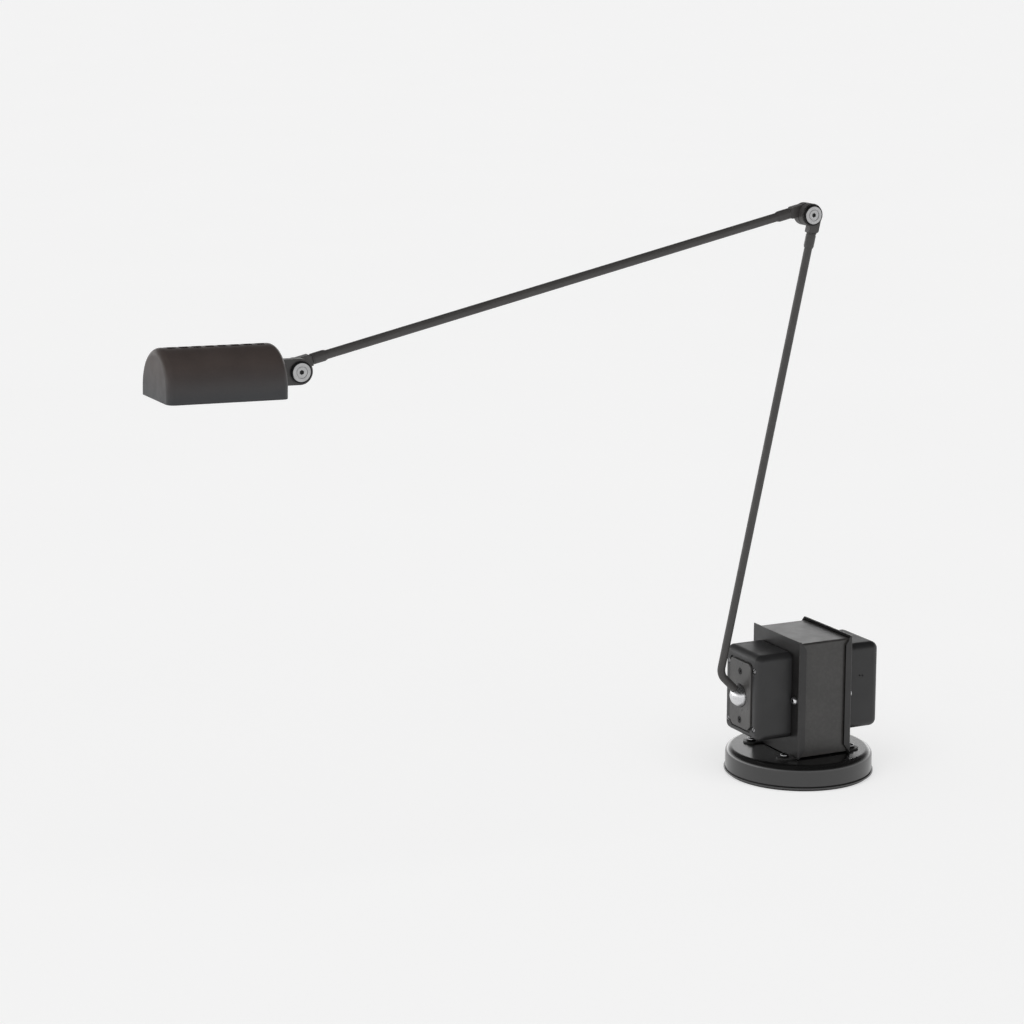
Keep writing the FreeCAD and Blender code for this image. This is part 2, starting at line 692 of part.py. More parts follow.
def hub(tube_r, offset):
    """Disc with a side neck: pivot at the origin along Y, neck down to -Z, its
    tube socket set off towards +X. The neck's outer foot is chamfered."""
    disc = rod(HUB_R, HUB_T, V(0, -HUB_T / 2, 0), Y_AXIS)
    right = min(offset + NECK_W / 2, HUB_R)
    left = offset - NECK_W / 2
    outline = [
        (left, 0), (right, 0), (right, NECK_CHAMFER - NECK_LEN), (right - NECK_CHAMFER, -NECK_LEN),
        (left, -NECK_LEN),
    ]
    neck = prism([V(px, -HUB_T / 2, pz) for px, pz in outline], Y_AXIS * HUB_T)
    body = disc.fuse(neck).removeSplitter()
    body = body.cut(rod(tube_r + SLIP, NECK_SOCKET + 1, V(offset, 0, -NECK_LEN - 1), Z_AXIS))
    return body.cut(rod(SHANK_R + RUN_CLEARANCE, HUB_T + 2, V(0, -HUB_T / 2 - 1, 0), Y_AXIS))


def ferrule(tube_r, offset):
    """Sleeve over the tube's end below a hub's neck, with a coned lower end."""
    outer_r = tube_r + FERRULE_WALL
    sleeve = rod(outer_r, FERRULE_LEN - 1.5, V(offset, 0, -NECK_LEN - FERRULE_LEN + 1.5), Z_AXIS)
    cone = Part.makeCone(tube_r + 0.25, outer_r, 1.5, V(offset, 0, -NECK_LEN - FERRULE_LEN), Z_AXIS)
    bore = rod(tube_r + SLIP, FERRULE_LEN + 2, V(offset, 0, -NECK_LEN - FERRULE_LEN - 1), Z_AXIS)
    return sleeve.fuse(cone).removeSplitter().cut(bore)


def placed(shape, turn, y, pivot):
    """Turn a joint piece about Y from its own frame and put it at a pivot."""
    result = shape.copy()
    result.rotate(V(0, 0, 0), Y_AXIS, turn)
    result.translate(V(pivot.x, y, pivot.z))
    return result


def upper_fall():
    """How far the upper arm falls below level towards the head, in degrees."""
    return math.degrees(math.atan2(ELBOW.z - HEAD.z, ELBOW.x - HEAD.x))


def upper_turn(at_head):
    """Turn of a hub so that its neck lies along the upper arm."""
    return 90 - upper_fall() if not at_head else -90 - upper_fall()


def mirrored_hub(tube_r, offset):
    """Hub whose tube socket is set off the other way."""
    return hub(tube_r, offset).mirror(V(0, 0, 0), X_AXIS)


def upper_arm_bar(radius, margin):
    """Round bar along the upper arm's axis, short of each pivot by a margin."""
    fall = math.radians(upper_fall())
    along = V(-math.cos(fall), 0, -math.sin(fall))
    across = V(-math.sin(fall), 0, math.cos(fall))
    length = ELBOW.distanceToPoint(HEAD) - 2 * margin
    start = ELBOW + along * margin + across * UPPER_OFFSET + Y_AXIS * FAR_Y
    return rod(radius, length, start, along)


def upper_arm_tube():
    margin = NECK_LEN - NECK_SOCKET
    inner = upper_arm_bar(UPPER_TUBE_R - TUBE_WALL, margin - 1)
    return upper_arm_bar(UPPER_TUBE_R, margin).cut(inner)


def upper_arm_leads():
    leads = []
    for side in (-1, 1):
        lead = upper_arm_bar(LEAD_R, NECK_LEN - NECK_SOCKET + 1)
        lead.translate(Y_AXIS * side * LEAD_Y)
        leads.append(lead)
    return leads


# --- disc joint hardware: shared by the elbow and the head ------------------------

def joint_screw():
    """Round capped screw: head on the near side, shank through both hubs."""
    seat = -HUB_T / 2 - CUP_FLOOR
    head = rod(KNOB_R, KNOB_T, V(0, seat - KNOB_T, 0), Y_AXIS)
    head = round_edges(head, 0.5, lambda e: e.BoundBox.YMax < seat - KNOB_T + 0.1)
    face = seat - KNOB_T
    head = head.cut(ring(4.1, 3.6, 0.5, V(0, face - 0.1, 0), Y_AXIS))
    head = head.cut(hexagon(HEX_AF, 1.3, V(0, face - 0.1, 0), Y_AXIS))
    end = FAR_Y + HUB_T / 2 + FACE_GAP + NUT_T - NUT_CROWN
    return head.fuse(rod(SHANK_R, end - seat, V(0, seat, 0), Y_AXIS))


def joint_cup():
    """Shallow cup washer under the screw's head."""
    outer = rod(CUP_R, CUP_DEPTH, V(0, -HUB_T / 2 - CUP_DEPTH, 0), Y_AXIS)
    pocket = rod(CUP_R - CUP_RIM, CUP_DEPTH, V(0, -HUB_T / 2 - CUP_FLOOR - CUP_DEPTH, 0), Y_AXIS)
    return outer.cut(pocket).cut(rod(SHANK_R + SLIP, 5.0, V(0, -HUB_T / 2 - 2, 0), Y_AXIS))


def joint_washer():
    return ring(WASHER_R, SHANK_R + SLIP, WASHER_T, V(0, HUB_T / 2 + FACE_GAP / 2, 0), Y_AXIS)


def joint_nut():
    start = FAR_Y + HUB_T / 2 + FACE_GAP
    nut = rod(NUT_R, NUT_T, V(0, start, 0), Y_AXIS)
    nut = round_edges(nut, 0.8, lambda e: e.BoundBox.YMin > start + NUT_T - 0.1)
    nut = nut.cut(rod(SHANK_R, NUT_T - NUT_CROWN, V(0, start, 0), Y_AXIS))
    for side in (-1, 1):
        nut = nut.cut(rod(0.9, 1.4, V(side * 4.0, start + NUT_T - 1.2, 0), Y_AXIS))
    return nut


# --- lamp head, built with its pivot at the origin -------------------------------

def arch(x, radius, bottom, length):
    """Tunnel profile of vertical sides and a half-round top, extruded along X."""
    centre_z = SHADE_TOP - SHADE_R
    left_low = V(x, -radius, bottom)
    left_high = V(x, -radius, centre_z)
    right_high = V(x, radius, centre_z)
    right_low = V(x, radius, bottom)
    crown = V(x, 0, centre_z + radius)
    wire = Part.Wire([
        Part.LineSegment(left_low, left_high).toShape(),
        Part.Arc(left_high, crown, right_high).toShape(),
        Part.LineSegment(right_high, right_low).toShape(),
        Part.LineSegment(right_low, left_low).toShape(),
    ])
    return Part.Face(wire).extrude(X_AXIS * length)


def end_arch_edge(edge, x_ends, bottom):
    """True for the arch-shaped edges of an extruded tunnel, not its sill."""
    bounds = edge.BoundBox
    at_end = any(abs(bounds.XMin - x) < 0.01 and bounds.XLength < 0.01 for x in x_ends)
    return at_end and bounds.ZMax > bottom + 0.1


def shade():
    nose = SHADE_END - SHADE_LEN
    outer = arch(nose, SHADE_R, SHADE_BOTTOM, SHADE_LEN)
    outer = round_edges(outer, SHADE_EDGE_R, lambda e: end_arch_edge(e, (nose, SHADE_END), SHADE_BOTTOM))
    low = SHADE_BOTTOM - 5
    inner = arch(nose + SHADE_WALL, SHADE_R - SHADE_WALL, low, SHADE_LEN - 2 * SHADE_WALL)
    ends = (nose + SHADE_WALL, SHADE_END - SHADE_WALL)
    inner = round_edges(inner, SHADE_EDGE_R - SHADE_WALL, lambda e: end_arch_edge(e, ends, low))
    shell = outer.cut(inner)
    middle = nose + SHADE_LEN / 2
    for step in range(VENT_COUNT):
        x = middle + (step - (VENT_COUNT - 1) / 2) * VENT_PITCH
        slot = box((x - VENT_W / 2, x + VENT_W / 2), (-VENT_LEN / 2, VENT_LEN / 2),
                   (SHADE_TOP - 5, SHADE_TOP + 5))
        shell = shell.cut(round_edges(slot, 1.2, lambda e: e.BoundBox.ZLength > 9))
    passage = box((SHADE_END - 2, SHADE_END + 2), (-HUB_T / 2 - 0.1, HUB_T / 2 + 0.1),
                  (-BRACKET_R - 0.1, BRACKET_R + 0.1))
    return shell.cut(passage)


def shade_bracket():
    disc = rod(BRACKET_R, HUB_T, V(0, -HUB_T / 2, 0), Y_AXIS)
    arm = box((BRACKET_END, 0), (-HUB_T / 2, HUB_T / 2), (-BRACKET_R, BRACKET_R))
    foot = box((BRACKET_END, BRACKET_END + 3), (-11, 11), (-BRACKET_R, BRACKET_R))
    body = fuse([disc, arm, foot])
    body = body.cut(rod(SHANK_R + SLIP, HUB_T + 2, V(0, -HUB_T / 2 - 1, 0), Y_AXIS))
    for side in (-1, 1):
        holder_hole = V(BRACKET_END - 1, side * HOLDER_SCREW[0], HOLDER_SCREW[1])
        clip_hole = V(BRACKET_END - 1, side * CLIP_Y, CLIP_Z)
        body = body.cut(rod(1.25, 5.0, holder_hole, X_AXIS)).cut(rod(1.25, 5.0, clip_hole, X_AXIS))
    return body


def head_clips():
    """Two spring clips that hold the reflector to the bracket's foot."""
    clips = []
    for side in (-1, 1):
        y = side * CLIP_Y
        tab = box((BRACKET_END - 0.8, BRACKET_END), (y - 1.7, y + 1.7), (-8.5, 4.0))
        leaf = box((BRACKET_END - 0.8, BRACKET_END - 0.2), (y - 1.7, y + 1.7), (4.0, 13.0))
        clips.append(fuse([tab, leaf]).cut(rod(1.25, 5.0, V(BRACKET_END - 2, y, CLIP_Z), X_AXIS)))
    return clips


def clip_screws():
    screws = []
    for side in (-1, 1):
        seat = V(BRACKET_END - 0.8, side * CLIP_Y, CLIP_Z)
        screws.append(rod(2.0, 1.3, seat - X_AXIS * 1.3, X_AXIS).fuse(rod(1.25, 3.6, seat, X_AXIS)))
    return screws


def reflector():
    start = SHADE_END - SHADE_LEN + REFLECTOR_NOSE_GAP
    length = BRACKET_END - 0.1 - start
    outer = arch(start, REFLECTOR_R, REFLECTOR_BOTTOM, length)
    inner = arch(start - 1, REFLECTOR_R - REFLECTOR_T, REFLECTOR_BOTTOM - 1, length + 2)
    return outer.cut(inner)


def lamp_holder():
    block = box(HOLDER_X, (-HOLDER_Y, HOLDER_Y), HOLDER_Z)
    block = round_edges(block, 1.2, lambda e: e.BoundBox.XLength > 5)
    for side in (-1, 1):
        pin_hole = rod(PIN_R + 0.1, 7.0, V(HOLDER_X[0] - 1, side * PIN_Y, BULB_Z), X_AXIS)
        screw_start = V(HOLDER_X[0] - 1, side * HOLDER_SCREW[0], HOLDER_SCREW[1])
        screw_hole = rod(1.25, 12.0, screw_start, X_AXIS)
        block = block.cut(pin_hole).cut(screw_hole)
    return block


def holder_screws():
    screws = []
    for side in (-1, 1):
        seat = V(HOLDER_X[0], side * HOLDER_SCREW[0], HOLDER_SCREW[1])
        screws.append(rod(1.25, 11.6, seat, X_AXIS).fuse(rod(1.9, 1.1, seat - X_AXIS * 1.1, X_AXIS)))
    return screws


def bulb_glass():
    """Tubular capsule with a flat pinch at the pins and a rounded tip."""
    pinch = box((BULB_BASE - 6, BULB_BASE), (-5.0, 5.0), (BULB_Z - 1.6, BULB_Z + 1.6))
    tube_end = BULB_BASE - 5
    tube = rod(BULB_R, tube_end - BULB_TIP - BULB_R, V(BULB_TIP + BULB_R, 0, BULB_Z), X_AXIS)
    tip = Part.makeSphere(BULB_R, V(BULB_TIP + BULB_R, 0, BULB_Z))
    body = fuse([pinch, tube, tip])
    hollow = rod(BULB_R - 0.9, tube_end - BULB_TIP - BULB_R - 2, V(BULB_TIP + BULB_R, 0, BULB_Z), X_AXIS)
    hollow = hollow.fuse(Part.makeSphere(BULB_R - 0.9, V(BULB_TIP + BULB_R, 0, BULB_Z)))
    body = body.cut(hollow)
    for side in (-1, 1):
        body = body.cut(rod(PIN_R, 7.0, V(BULB_BASE - 5, side * PIN_Y, BULB_Z), X_AXIS))
    return body


def bulb_pins():
    return [rod(PIN_R, 10.5, V(BULB_BASE - 5, side * PIN_Y, BULB_Z), X_AXIS) for side in (-1, 1)]


def bulb_filament():
    coil = rod(0.9, 8.0, V(BULB_TIP + 10, 0, BULB_Z), X_AXIS)
    return coil.cut(rod(0.5, 10.0, V(BULB_TIP + 9, 0, BULB_Z), X_AXIS))


def at_head(shape):
    """Move a lamp-head piece from its own frame to the head pivot, nose slightly up."""
    if isinstance(shape, list):
        return [at_head(piece) for piece in shape]
    return placed(shape, HEAD_TILT, 0, HEAD)


def on_base(shapes):
    """Move transformer pieces from the transformer's own middle to its place on the base."""
    moved = {}
    for name, shape in shapes.items():
        pieces = shape if isinstance(shape, list) else [shape]
        moved[name] = [piece.translated(X_AXIS * TRANSFORMER_X) for piece in pieces]
    return moved


def transformer_nodes():
    return on_base({
        "end_frame_right": end_frame(),
        "end_frame_left": mirrored_x(end_frame()),
        "transformer_cover": transformer_cover(),
        "transformer_core": core(),
        "coil_bobbin": bobbin(),
        "primary_winding": primary_winding(),
        "secondary_winding": secondary_winding(),
        "clamp_bolts": clamp_bolts(),
        "clamp_nuts": clamp_nuts(),
        "left_end_cap": left_end_cap(),
        "left_cap_screws": [mirrored_x(screw) for screw in cap_screws()],
        "arm_plate": arm_plate(),
        "arm_plate_screws": arm_plate_screws(),
        "ball_socket": ball_socket(),
        "socket_plate": socket_plate(),
        "right_end_cap": right_end_cap(),
        "right_cap_screws": cap_screws(),
        "switch_body": switch_body(),
        "switch_rocker": switch_rocker(),
        "terminal_block": terminal_block(),
        "terminal_screws": terminal_screws(),
        "thermal_fuse": thermal_fuse(),
        "cord_grommet": cord_grommet(),
    })


def main():
    os.makedirs("parts", exist_ok=True)
    elbow_turn = LOWER_LEAN
    nodes = {
        "base_cover": base_cover(),
        "base_ballast": base_ballast(),
        "base_pad": base_pad(),
        "foot_washers": foot_washers(),
        "foot_screws": foot_screws(),
        **transformer_nodes(),
        "pivot_ball": pivot_ball(),
        "axle_spring": axle_spring(),
        "axle_nut": axle_nut(),
        "lower_arm_tube": lower_arm_tube(),
        "lower_arm_leads": lower_arm_leads(),
        "lower_arm_hub": placed(hub(LOWER_TUBE_R, LOWER_OFFSET), elbow_turn, 0, ELBOW),
        "lower_arm_ferrule": placed(ferrule(LOWER_TUBE_R, LOWER_OFFSET), elbow_turn, 0, ELBOW),
        "elbow_screw": placed(joint_screw(), elbow_turn, 0, ELBOW),
        "elbow_cup": placed(joint_cup(), elbow_turn, 0, ELBOW),
        "elbow_washer": placed(joint_washer(), elbow_turn, 0, ELBOW),
        "elbow_nut": placed(joint_nut(), elbow_turn, 0, ELBOW),
        "upper_arm_tube": upper_arm_tube(),
        "upper_arm_leads": upper_arm_leads(),
        "upper_elbow_hub": placed(mirrored_hub(UPPER_TUBE_R, UPPER_OFFSET), upper_turn(False), FAR_Y, ELBOW),
        "upper_elbow_ferrule": placed(mirrored_x(ferrule(UPPER_TUBE_R, UPPER_OFFSET)),
                                      upper_turn(False), FAR_Y, ELBOW),
        "upper_head_hub": placed(hub(UPPER_TUBE_R, UPPER_OFFSET), upper_turn(True), FAR_Y, HEAD),
        "upper_head_ferrule": placed(ferrule(UPPER_TUBE_R, UPPER_OFFSET), upper_turn(True), FAR_Y, HEAD),
        "shade": at_head(shade()),
        "shade_bracket": at_head(shade_bracket()),
        "reflector": at_head(reflector()),
        "reflector_clips": at_head(head_clips()),
        "clip_screws": at_head(clip_screws()),
        "lamp_holder": at_head(lamp_holder()),
        "holder_screws": at_head(holder_screws()),
        "bulb_glass": at_head(bulb_glass()),
        "bulb_pins": at_head(bulb_pins()),
        "bulb_filament": at_head(bulb_filament()),
        "head_screw": at_head(joint_screw()),
        "head_cup": at_head(joint_cup()),
        "head_washer": at_head(joint_washer()),
        "head_nut": at_head(joint_nut()),
    }
    for name, shape in nodes.items():
        save(name, shape)


main()
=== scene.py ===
import bpy
import bmesh
import json
import math
from mathutils import Matrix, Vector


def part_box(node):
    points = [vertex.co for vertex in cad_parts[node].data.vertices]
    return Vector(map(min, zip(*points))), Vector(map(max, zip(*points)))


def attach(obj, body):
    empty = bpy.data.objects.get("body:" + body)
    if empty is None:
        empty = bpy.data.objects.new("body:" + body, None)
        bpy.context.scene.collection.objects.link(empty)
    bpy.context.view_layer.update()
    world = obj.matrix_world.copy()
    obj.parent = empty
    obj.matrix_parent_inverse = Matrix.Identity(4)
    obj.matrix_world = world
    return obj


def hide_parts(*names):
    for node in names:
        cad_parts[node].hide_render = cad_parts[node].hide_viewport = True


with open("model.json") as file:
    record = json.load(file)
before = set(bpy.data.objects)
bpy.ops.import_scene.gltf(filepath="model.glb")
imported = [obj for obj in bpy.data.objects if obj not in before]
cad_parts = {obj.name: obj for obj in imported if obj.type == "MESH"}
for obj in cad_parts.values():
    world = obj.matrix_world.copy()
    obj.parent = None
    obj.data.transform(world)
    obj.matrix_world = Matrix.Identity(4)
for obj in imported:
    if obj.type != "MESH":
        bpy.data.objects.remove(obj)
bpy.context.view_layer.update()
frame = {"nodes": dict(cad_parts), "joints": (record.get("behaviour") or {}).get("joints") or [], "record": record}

# Architect desk lamp. Pieces are built in millimetres in the frame of the part (or of
# a joint of it) and scaled to metres when they become objects.

MM = 0.001
ROW = Matrix.Scale(MM, 4)
ALONG_Y = Matrix(((1, 0, 0, 0), (0, 0, -1, 0), (0, 1, 0, 0), (0, 0, 0, 1)))   # u to X, v to Z, w to -Y
ALONG_X = Matrix(((0, 0, 1, 0), (1, 0, 0, 0), (0, 1, 0, 0), (0, 0, 0, 1)))    # u to Y, v to Z, w to X
MIRROR_X = Matrix.Scale(-1, 4, (1, 0, 0))


def low(node):
    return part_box(node)[0] / MM


def high(node):
    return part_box(node)[1] / MM


def span(node):
    return low(node), high(node)


def joint_point(name):
    for joint in frame["joints"]:
        if joint["name"] == name:
            return Vector(joint["pos_m"]) / MM


ELBOW = joint_point("elbow")
HEAD = joint_point("head_tilt")
BALL = joint_point("arm_swing")
ROCKER = joint_point("switch_rock")

# ---- camera and light

CAMERA_PLACE = (-1.16465, -1.8640, 0.6680)
CAMERA_TURN = (77.93, 0.0, -26.33)
LENS = 105.5
BRIGHT_SIDE = (-0.34, 0.94, 0.0)
SKY_BY_HEIGHT = (0.05, 0.46, 1.0, 0.03)
SKY_BY_SIDE = (-0.5, 0.8, 1.35, 2.7)
SUN_TURN = (24, -16, 0)
SUN_STRENGTH, SUN_SPREAD = 1.6, 75
FLOOR_R = 40.0
RANGE_ENDS = ("From Min", "From Max", "To Min", "To Max")


def put(name, data):
    made = bpy.data.objects.new(name, data)
    bpy.context.scene.collection.objects.link(made)
    return made


def make_camera():
    data = bpy.data.cameras.new("camera")
    data.lens = LENS
    data.sensor_width = 36.0
    data.clip_start = 0.05
    data.clip_end = 200.0
    camera = put("camera", data)
    camera.location = CAMERA_PLACE
    camera.rotation_euler = [math.radians(angle) for angle in CAMERA_TURN]
    bpy.context.scene.camera = camera


def set_range(fade, *numbers):
    for key, number in zip(RANGE_ENDS, numbers):
        fade.inputs[key].default_value = number


def make_sky():
    """Studio walls: bright behind and to the left, dark towards the front right and overhead."""
    world = bpy.data.worlds.new("studio")
    bpy.context.scene.world = world
    world.use_nodes = True
    tree = world.node_tree
    way = tree.nodes.new("ShaderNodeTexCoord").outputs["Generated"]
    parts = tree.nodes.new("ShaderNodeSeparateXYZ")
    tree.links.new(way, parts.inputs["Vector"])
    behind = tree.nodes.new("ShaderNodeVectorMath")
    behind.operation = "DOT_PRODUCT"
    behind.inputs[1].default_value = BRIGHT_SIDE
    tree.links.new(way, behind.inputs[0])
    fades = []
    for source, ends in ((parts.outputs["Z"], SKY_BY_HEIGHT), (behind.outputs["Value"], SKY_BY_SIDE)):
        fade = tree.nodes.new("ShaderNodeMapRange")
        fade.interpolation_type = "SMOOTHSTEP"
        set_range(fade, *ends)
        tree.links.new(source, fade.inputs["Value"])
        fades.append(fade.outputs["Result"])
    strength = tree.nodes.new("ShaderNodeMath")
    strength.operation = "MULTIPLY"
    tree.links.new(fades[0], strength.inputs[0])
    tree.links.new(fades[1], strength.inputs[1])
    background = tree.nodes["Background"]
    background.inputs["Color"].default_value = (1.0, 1.0, 1.0, 1.0)
    tree.links.new(strength.outputs["Value"], background.inputs["Strength"])


def make_studio():
    make_sky()
    data = bpy.data.lights.new("soft_key", "SUN")
    data.energy = SUN_STRENGTH
    data.angle = math.radians(SUN_SPREAD)
    key = put("soft_key", data)
    key.rotation_euler = [math.radians(angle) for angle in SUN_TURN]
    key.visible_glossy = False
    bpy.context.scene.view_settings.view_transform = "Standard"


def make_floor():
    mesh = bpy.data.meshes.new("floor")
    bm = bmesh.new()
    bmesh.ops.create_circle(bm, cap_ends=True, radius=FLOOR_R, segments=96)
    bm.to_mesh(mesh)
    bm.free()
    floor = put("floor", mesh)
    mesh.materials.append(SURFACES["floor"])


# ---- materials


class Painter:
    """Node tree of one material; every pattern lies in the object's own coordinates."""

    def __init__(self, name):
        self.material = bpy.data.materials.new(name)
        self.material.use_nodes = True
        self.tree = self.material.node_tree
        self.shader = self.tree.nodes["Principled BSDF"]
        self.coords = self.tree.nodes.new("ShaderNodeTexCoord").outputs["Object"]

    def feed(self, socket, value):
        if isinstance(value, bpy.types.NodeSocket):
            self.tree.links.new(value, socket)
        else:
            socket.default_value = value

    def node(self, kind, **inputs):
        made = self.tree.nodes.new(kind)
        for key, value in inputs.items():
            self.feed(made.inputs[key], value)
        return made

    def noise(self, scale, detail=3.0, roughness=0.55, stretch=None):
        vector = self.coords
        if stretch:
            vector = self.node("ShaderNodeMapping", Vector=vector, Scale=stretch).outputs["Vector"]
        look = {"Scale": scale, "Detail": detail, "Roughness": roughness}
        return self.node("ShaderNodeTexNoise", Vector=vector, **look).outputs["Fac"]

    def spread(self, value, *numbers):
        made = self.node("ShaderNodeMapRange", Value=value)
        set_range(made, *numbers)
        return made.outputs["Result"]

    def blend(self, factor, first, second):
        made = self.tree.nodes.new("ShaderNodeMix")
        made.data_type = "RGBA"
        self.tree.links.new(factor, made.inputs[0])
        for socket, value in ((made.inputs[6], first), (made.inputs[7], second)):
            self.feed(socket, (*value, 1.0) if isinstance(value, tuple) else value)
        return made.outputs[2]

    def math(self, operation, first, second):
        made = self.tree.nodes.new("ShaderNodeMath")
        made.operation = operation
        self.feed(made.inputs[0], first)
        self.feed(made.inputs[1], second)
        return made.outputs[0]

    def bump(self, height, strength, distance, under=None):
        made = self.node("ShaderNodeBump", Strength=strength, Distance=distance, Height=height)
        if under is not None:
            self.tree.links.new(under, made.inputs["Normal"])
        return made.outputs["Normal"]

    def to(self, socket, value):
        self.tree.links.new(value, self.shader.inputs[socket])

    def set(self, **values):
        for key, value in values.items():
            self.shader.inputs[key.replace("_", " ")].default_value = value


BAND = 0.3142  # metres from band to band in a wave texture of scale 1


def tone(colour, factor):
    return tuple(min(1.0, channel * factor) for channel in colour)


def paint(name, colour, rough, patch=(0.85, 1.2), grain=1400.0, grain_height=0.00002, wear=0.0,
          fade=None, **fixed):
    """Painted or moulded surface: soft patches, fine grain, uneven gloss, lighter edges.

    A fade is a lower height, an upper height and the colour below the lower one: painted light, lighter towards
    the top, painted shade towards the foot.
    """
    p = Painter(name)
    patches = p.spread(p.noise(38.0, 4.0), 0.3, 0.7, 0.0, 1.0)
    base = p.blend(patches, tone(colour, patch[0]), tone(colour, patch[1]))
    # Painted light: the colour goes from the darker one at the lower height to the lighter one at the upper
    # height.
    if fade:
        foot, top, painted_shade_colour = fade
        level = p.node("ShaderNodeSeparateXYZ", Vector=p.coords).outputs["Z"]
        base = p.blend(p.spread(level, foot, top, 0.0, 1.0), painted_shade_colour, base)
    specks = p.spread(p.noise(grain, 2.0), 0.62, 0.75, 0.0, 0.35)
    base = p.blend(specks, base, tone(colour, 1.9))
    if wear:
        edge = p.spread(p.node("ShaderNodeNewGeometry").outputs["Pointiness"], 0.53, 0.62, 0.0, 1.0)
        broken = p.spread(p.noise(420.0, 5.0), 0.42, 0.62, 0.0, wear)
        base = p.blend(p.math("MULTIPLY", edge, broken), base, tone(colour, 4.0))
    p.to("Base Color", base)
    handling = p.spread(p.noise(95.0, 5.0, 0.65), 0.3, 0.72, rough[0], rough[1])
    p.to("Roughness", handling)
    fine = p.bump(p.noise(grain, 3.0), 0.6, grain_height)
    p.to("Normal", p.bump(p.noise(170.0, 2.0), 0.25, 0.00004, fine))
    p.set(**fixed)
    return p.material


def metal(name, colour, rough, rings=None, brushed=None):
    """Bare or plated metal: turned rings about a joint's axis, or brushed along one way."""
    p = Painter(name)
    stains = p.spread(p.noise(240.0, 4.0), 0.35, 0.7, 0.0, 1.0)
    p.to("Base Color", p.blend(stains, tone(colour, 0.86), colour))
    scuffs = p.noise(900.0, 4.0, 0.7, brushed)
    p.to("Roughness", p.spread(scuffs, 0.3, 0.7, rough[0], rough[1]))
    normal = p.bump(scuffs, 0.35, 0.000012)
    if rings is not None:
        centre = p.node("ShaderNodeMapping", Vector=p.coords)
        centre.inputs["Location"].default_value = [-value * MM for value in rings]
        wave = p.node("ShaderNodeTexWave", Vector=centre.outputs["Vector"], Scale=520.0,
                      Distortion=0.6, Detail=2.0)
        wave.wave_type = "RINGS"
        wave.rings_direction = "Y"
        normal = p.bump(wave.outputs["Fac"], 0.3, 0.00002, normal)
    p.to("Normal", normal)
    p.set(Metallic=1.0)
    return p.material


def layered(name, colour, rough, pitch, way, metallic):
    """Stacked sheets or wound wire: fine parallel bands across one direction."""
    p = Painter(name)
    wave = p.node("ShaderNodeTexWave", Vector=p.coords, Scale=BAND / (pitch * MM), Distortion=0.25)
    wave.bands_direction = way
    bands = wave.outputs["Fac"]
    p.to("Base Color", p.blend(bands, tone(colour, 0.45), tone(colour, 1.1)))
    p.to("Roughness", p.spread(p.noise(300.0, 3.0), 0.3, 0.7, rough[0], rough[1]))
    p.to("Normal", p.bump(bands, 0.8, 0.0001))
    p.set(Metallic=metallic)
    return p.material


def clear_glass(name):
    p = Painter(name)
    film = p.spread(p.noise(160.0, 3.0), 0.4, 0.75, 0.0, 1.0)
    p.to("Base Color", p.blend(film, (1.0, 1.0, 1.0), (0.9, 0.92, 0.94)))
    p.to("Roughness", p.spread(p.noise(600.0, 3.0), 0.3, 0.7, 0.0, 0.03))
    p.to("Normal", p.bump(p.noise(120.0, 1.0), 0.2, 0.00005))
    p.set(Transmission_Weight=1.0, IOR=1.46)
    return p.material


def pale_floor(name):
    p = Painter(name)
    p.to("Base Color", p.blend(p.noise(3.0, 2.0), (0.49, 0.49, 0.49), (0.51, 0.51, 0.51)))
    p.to("Roughness", p.spread(p.noise(25.0, 2.0), 0.3, 0.7, 0.85, 0.95))
    p.set(Specular_IOR_Level=0.0, Emission_Color=(1.0, 1.0, 1.0, 1.0), Emission_Strength=0.575)
    return p.material


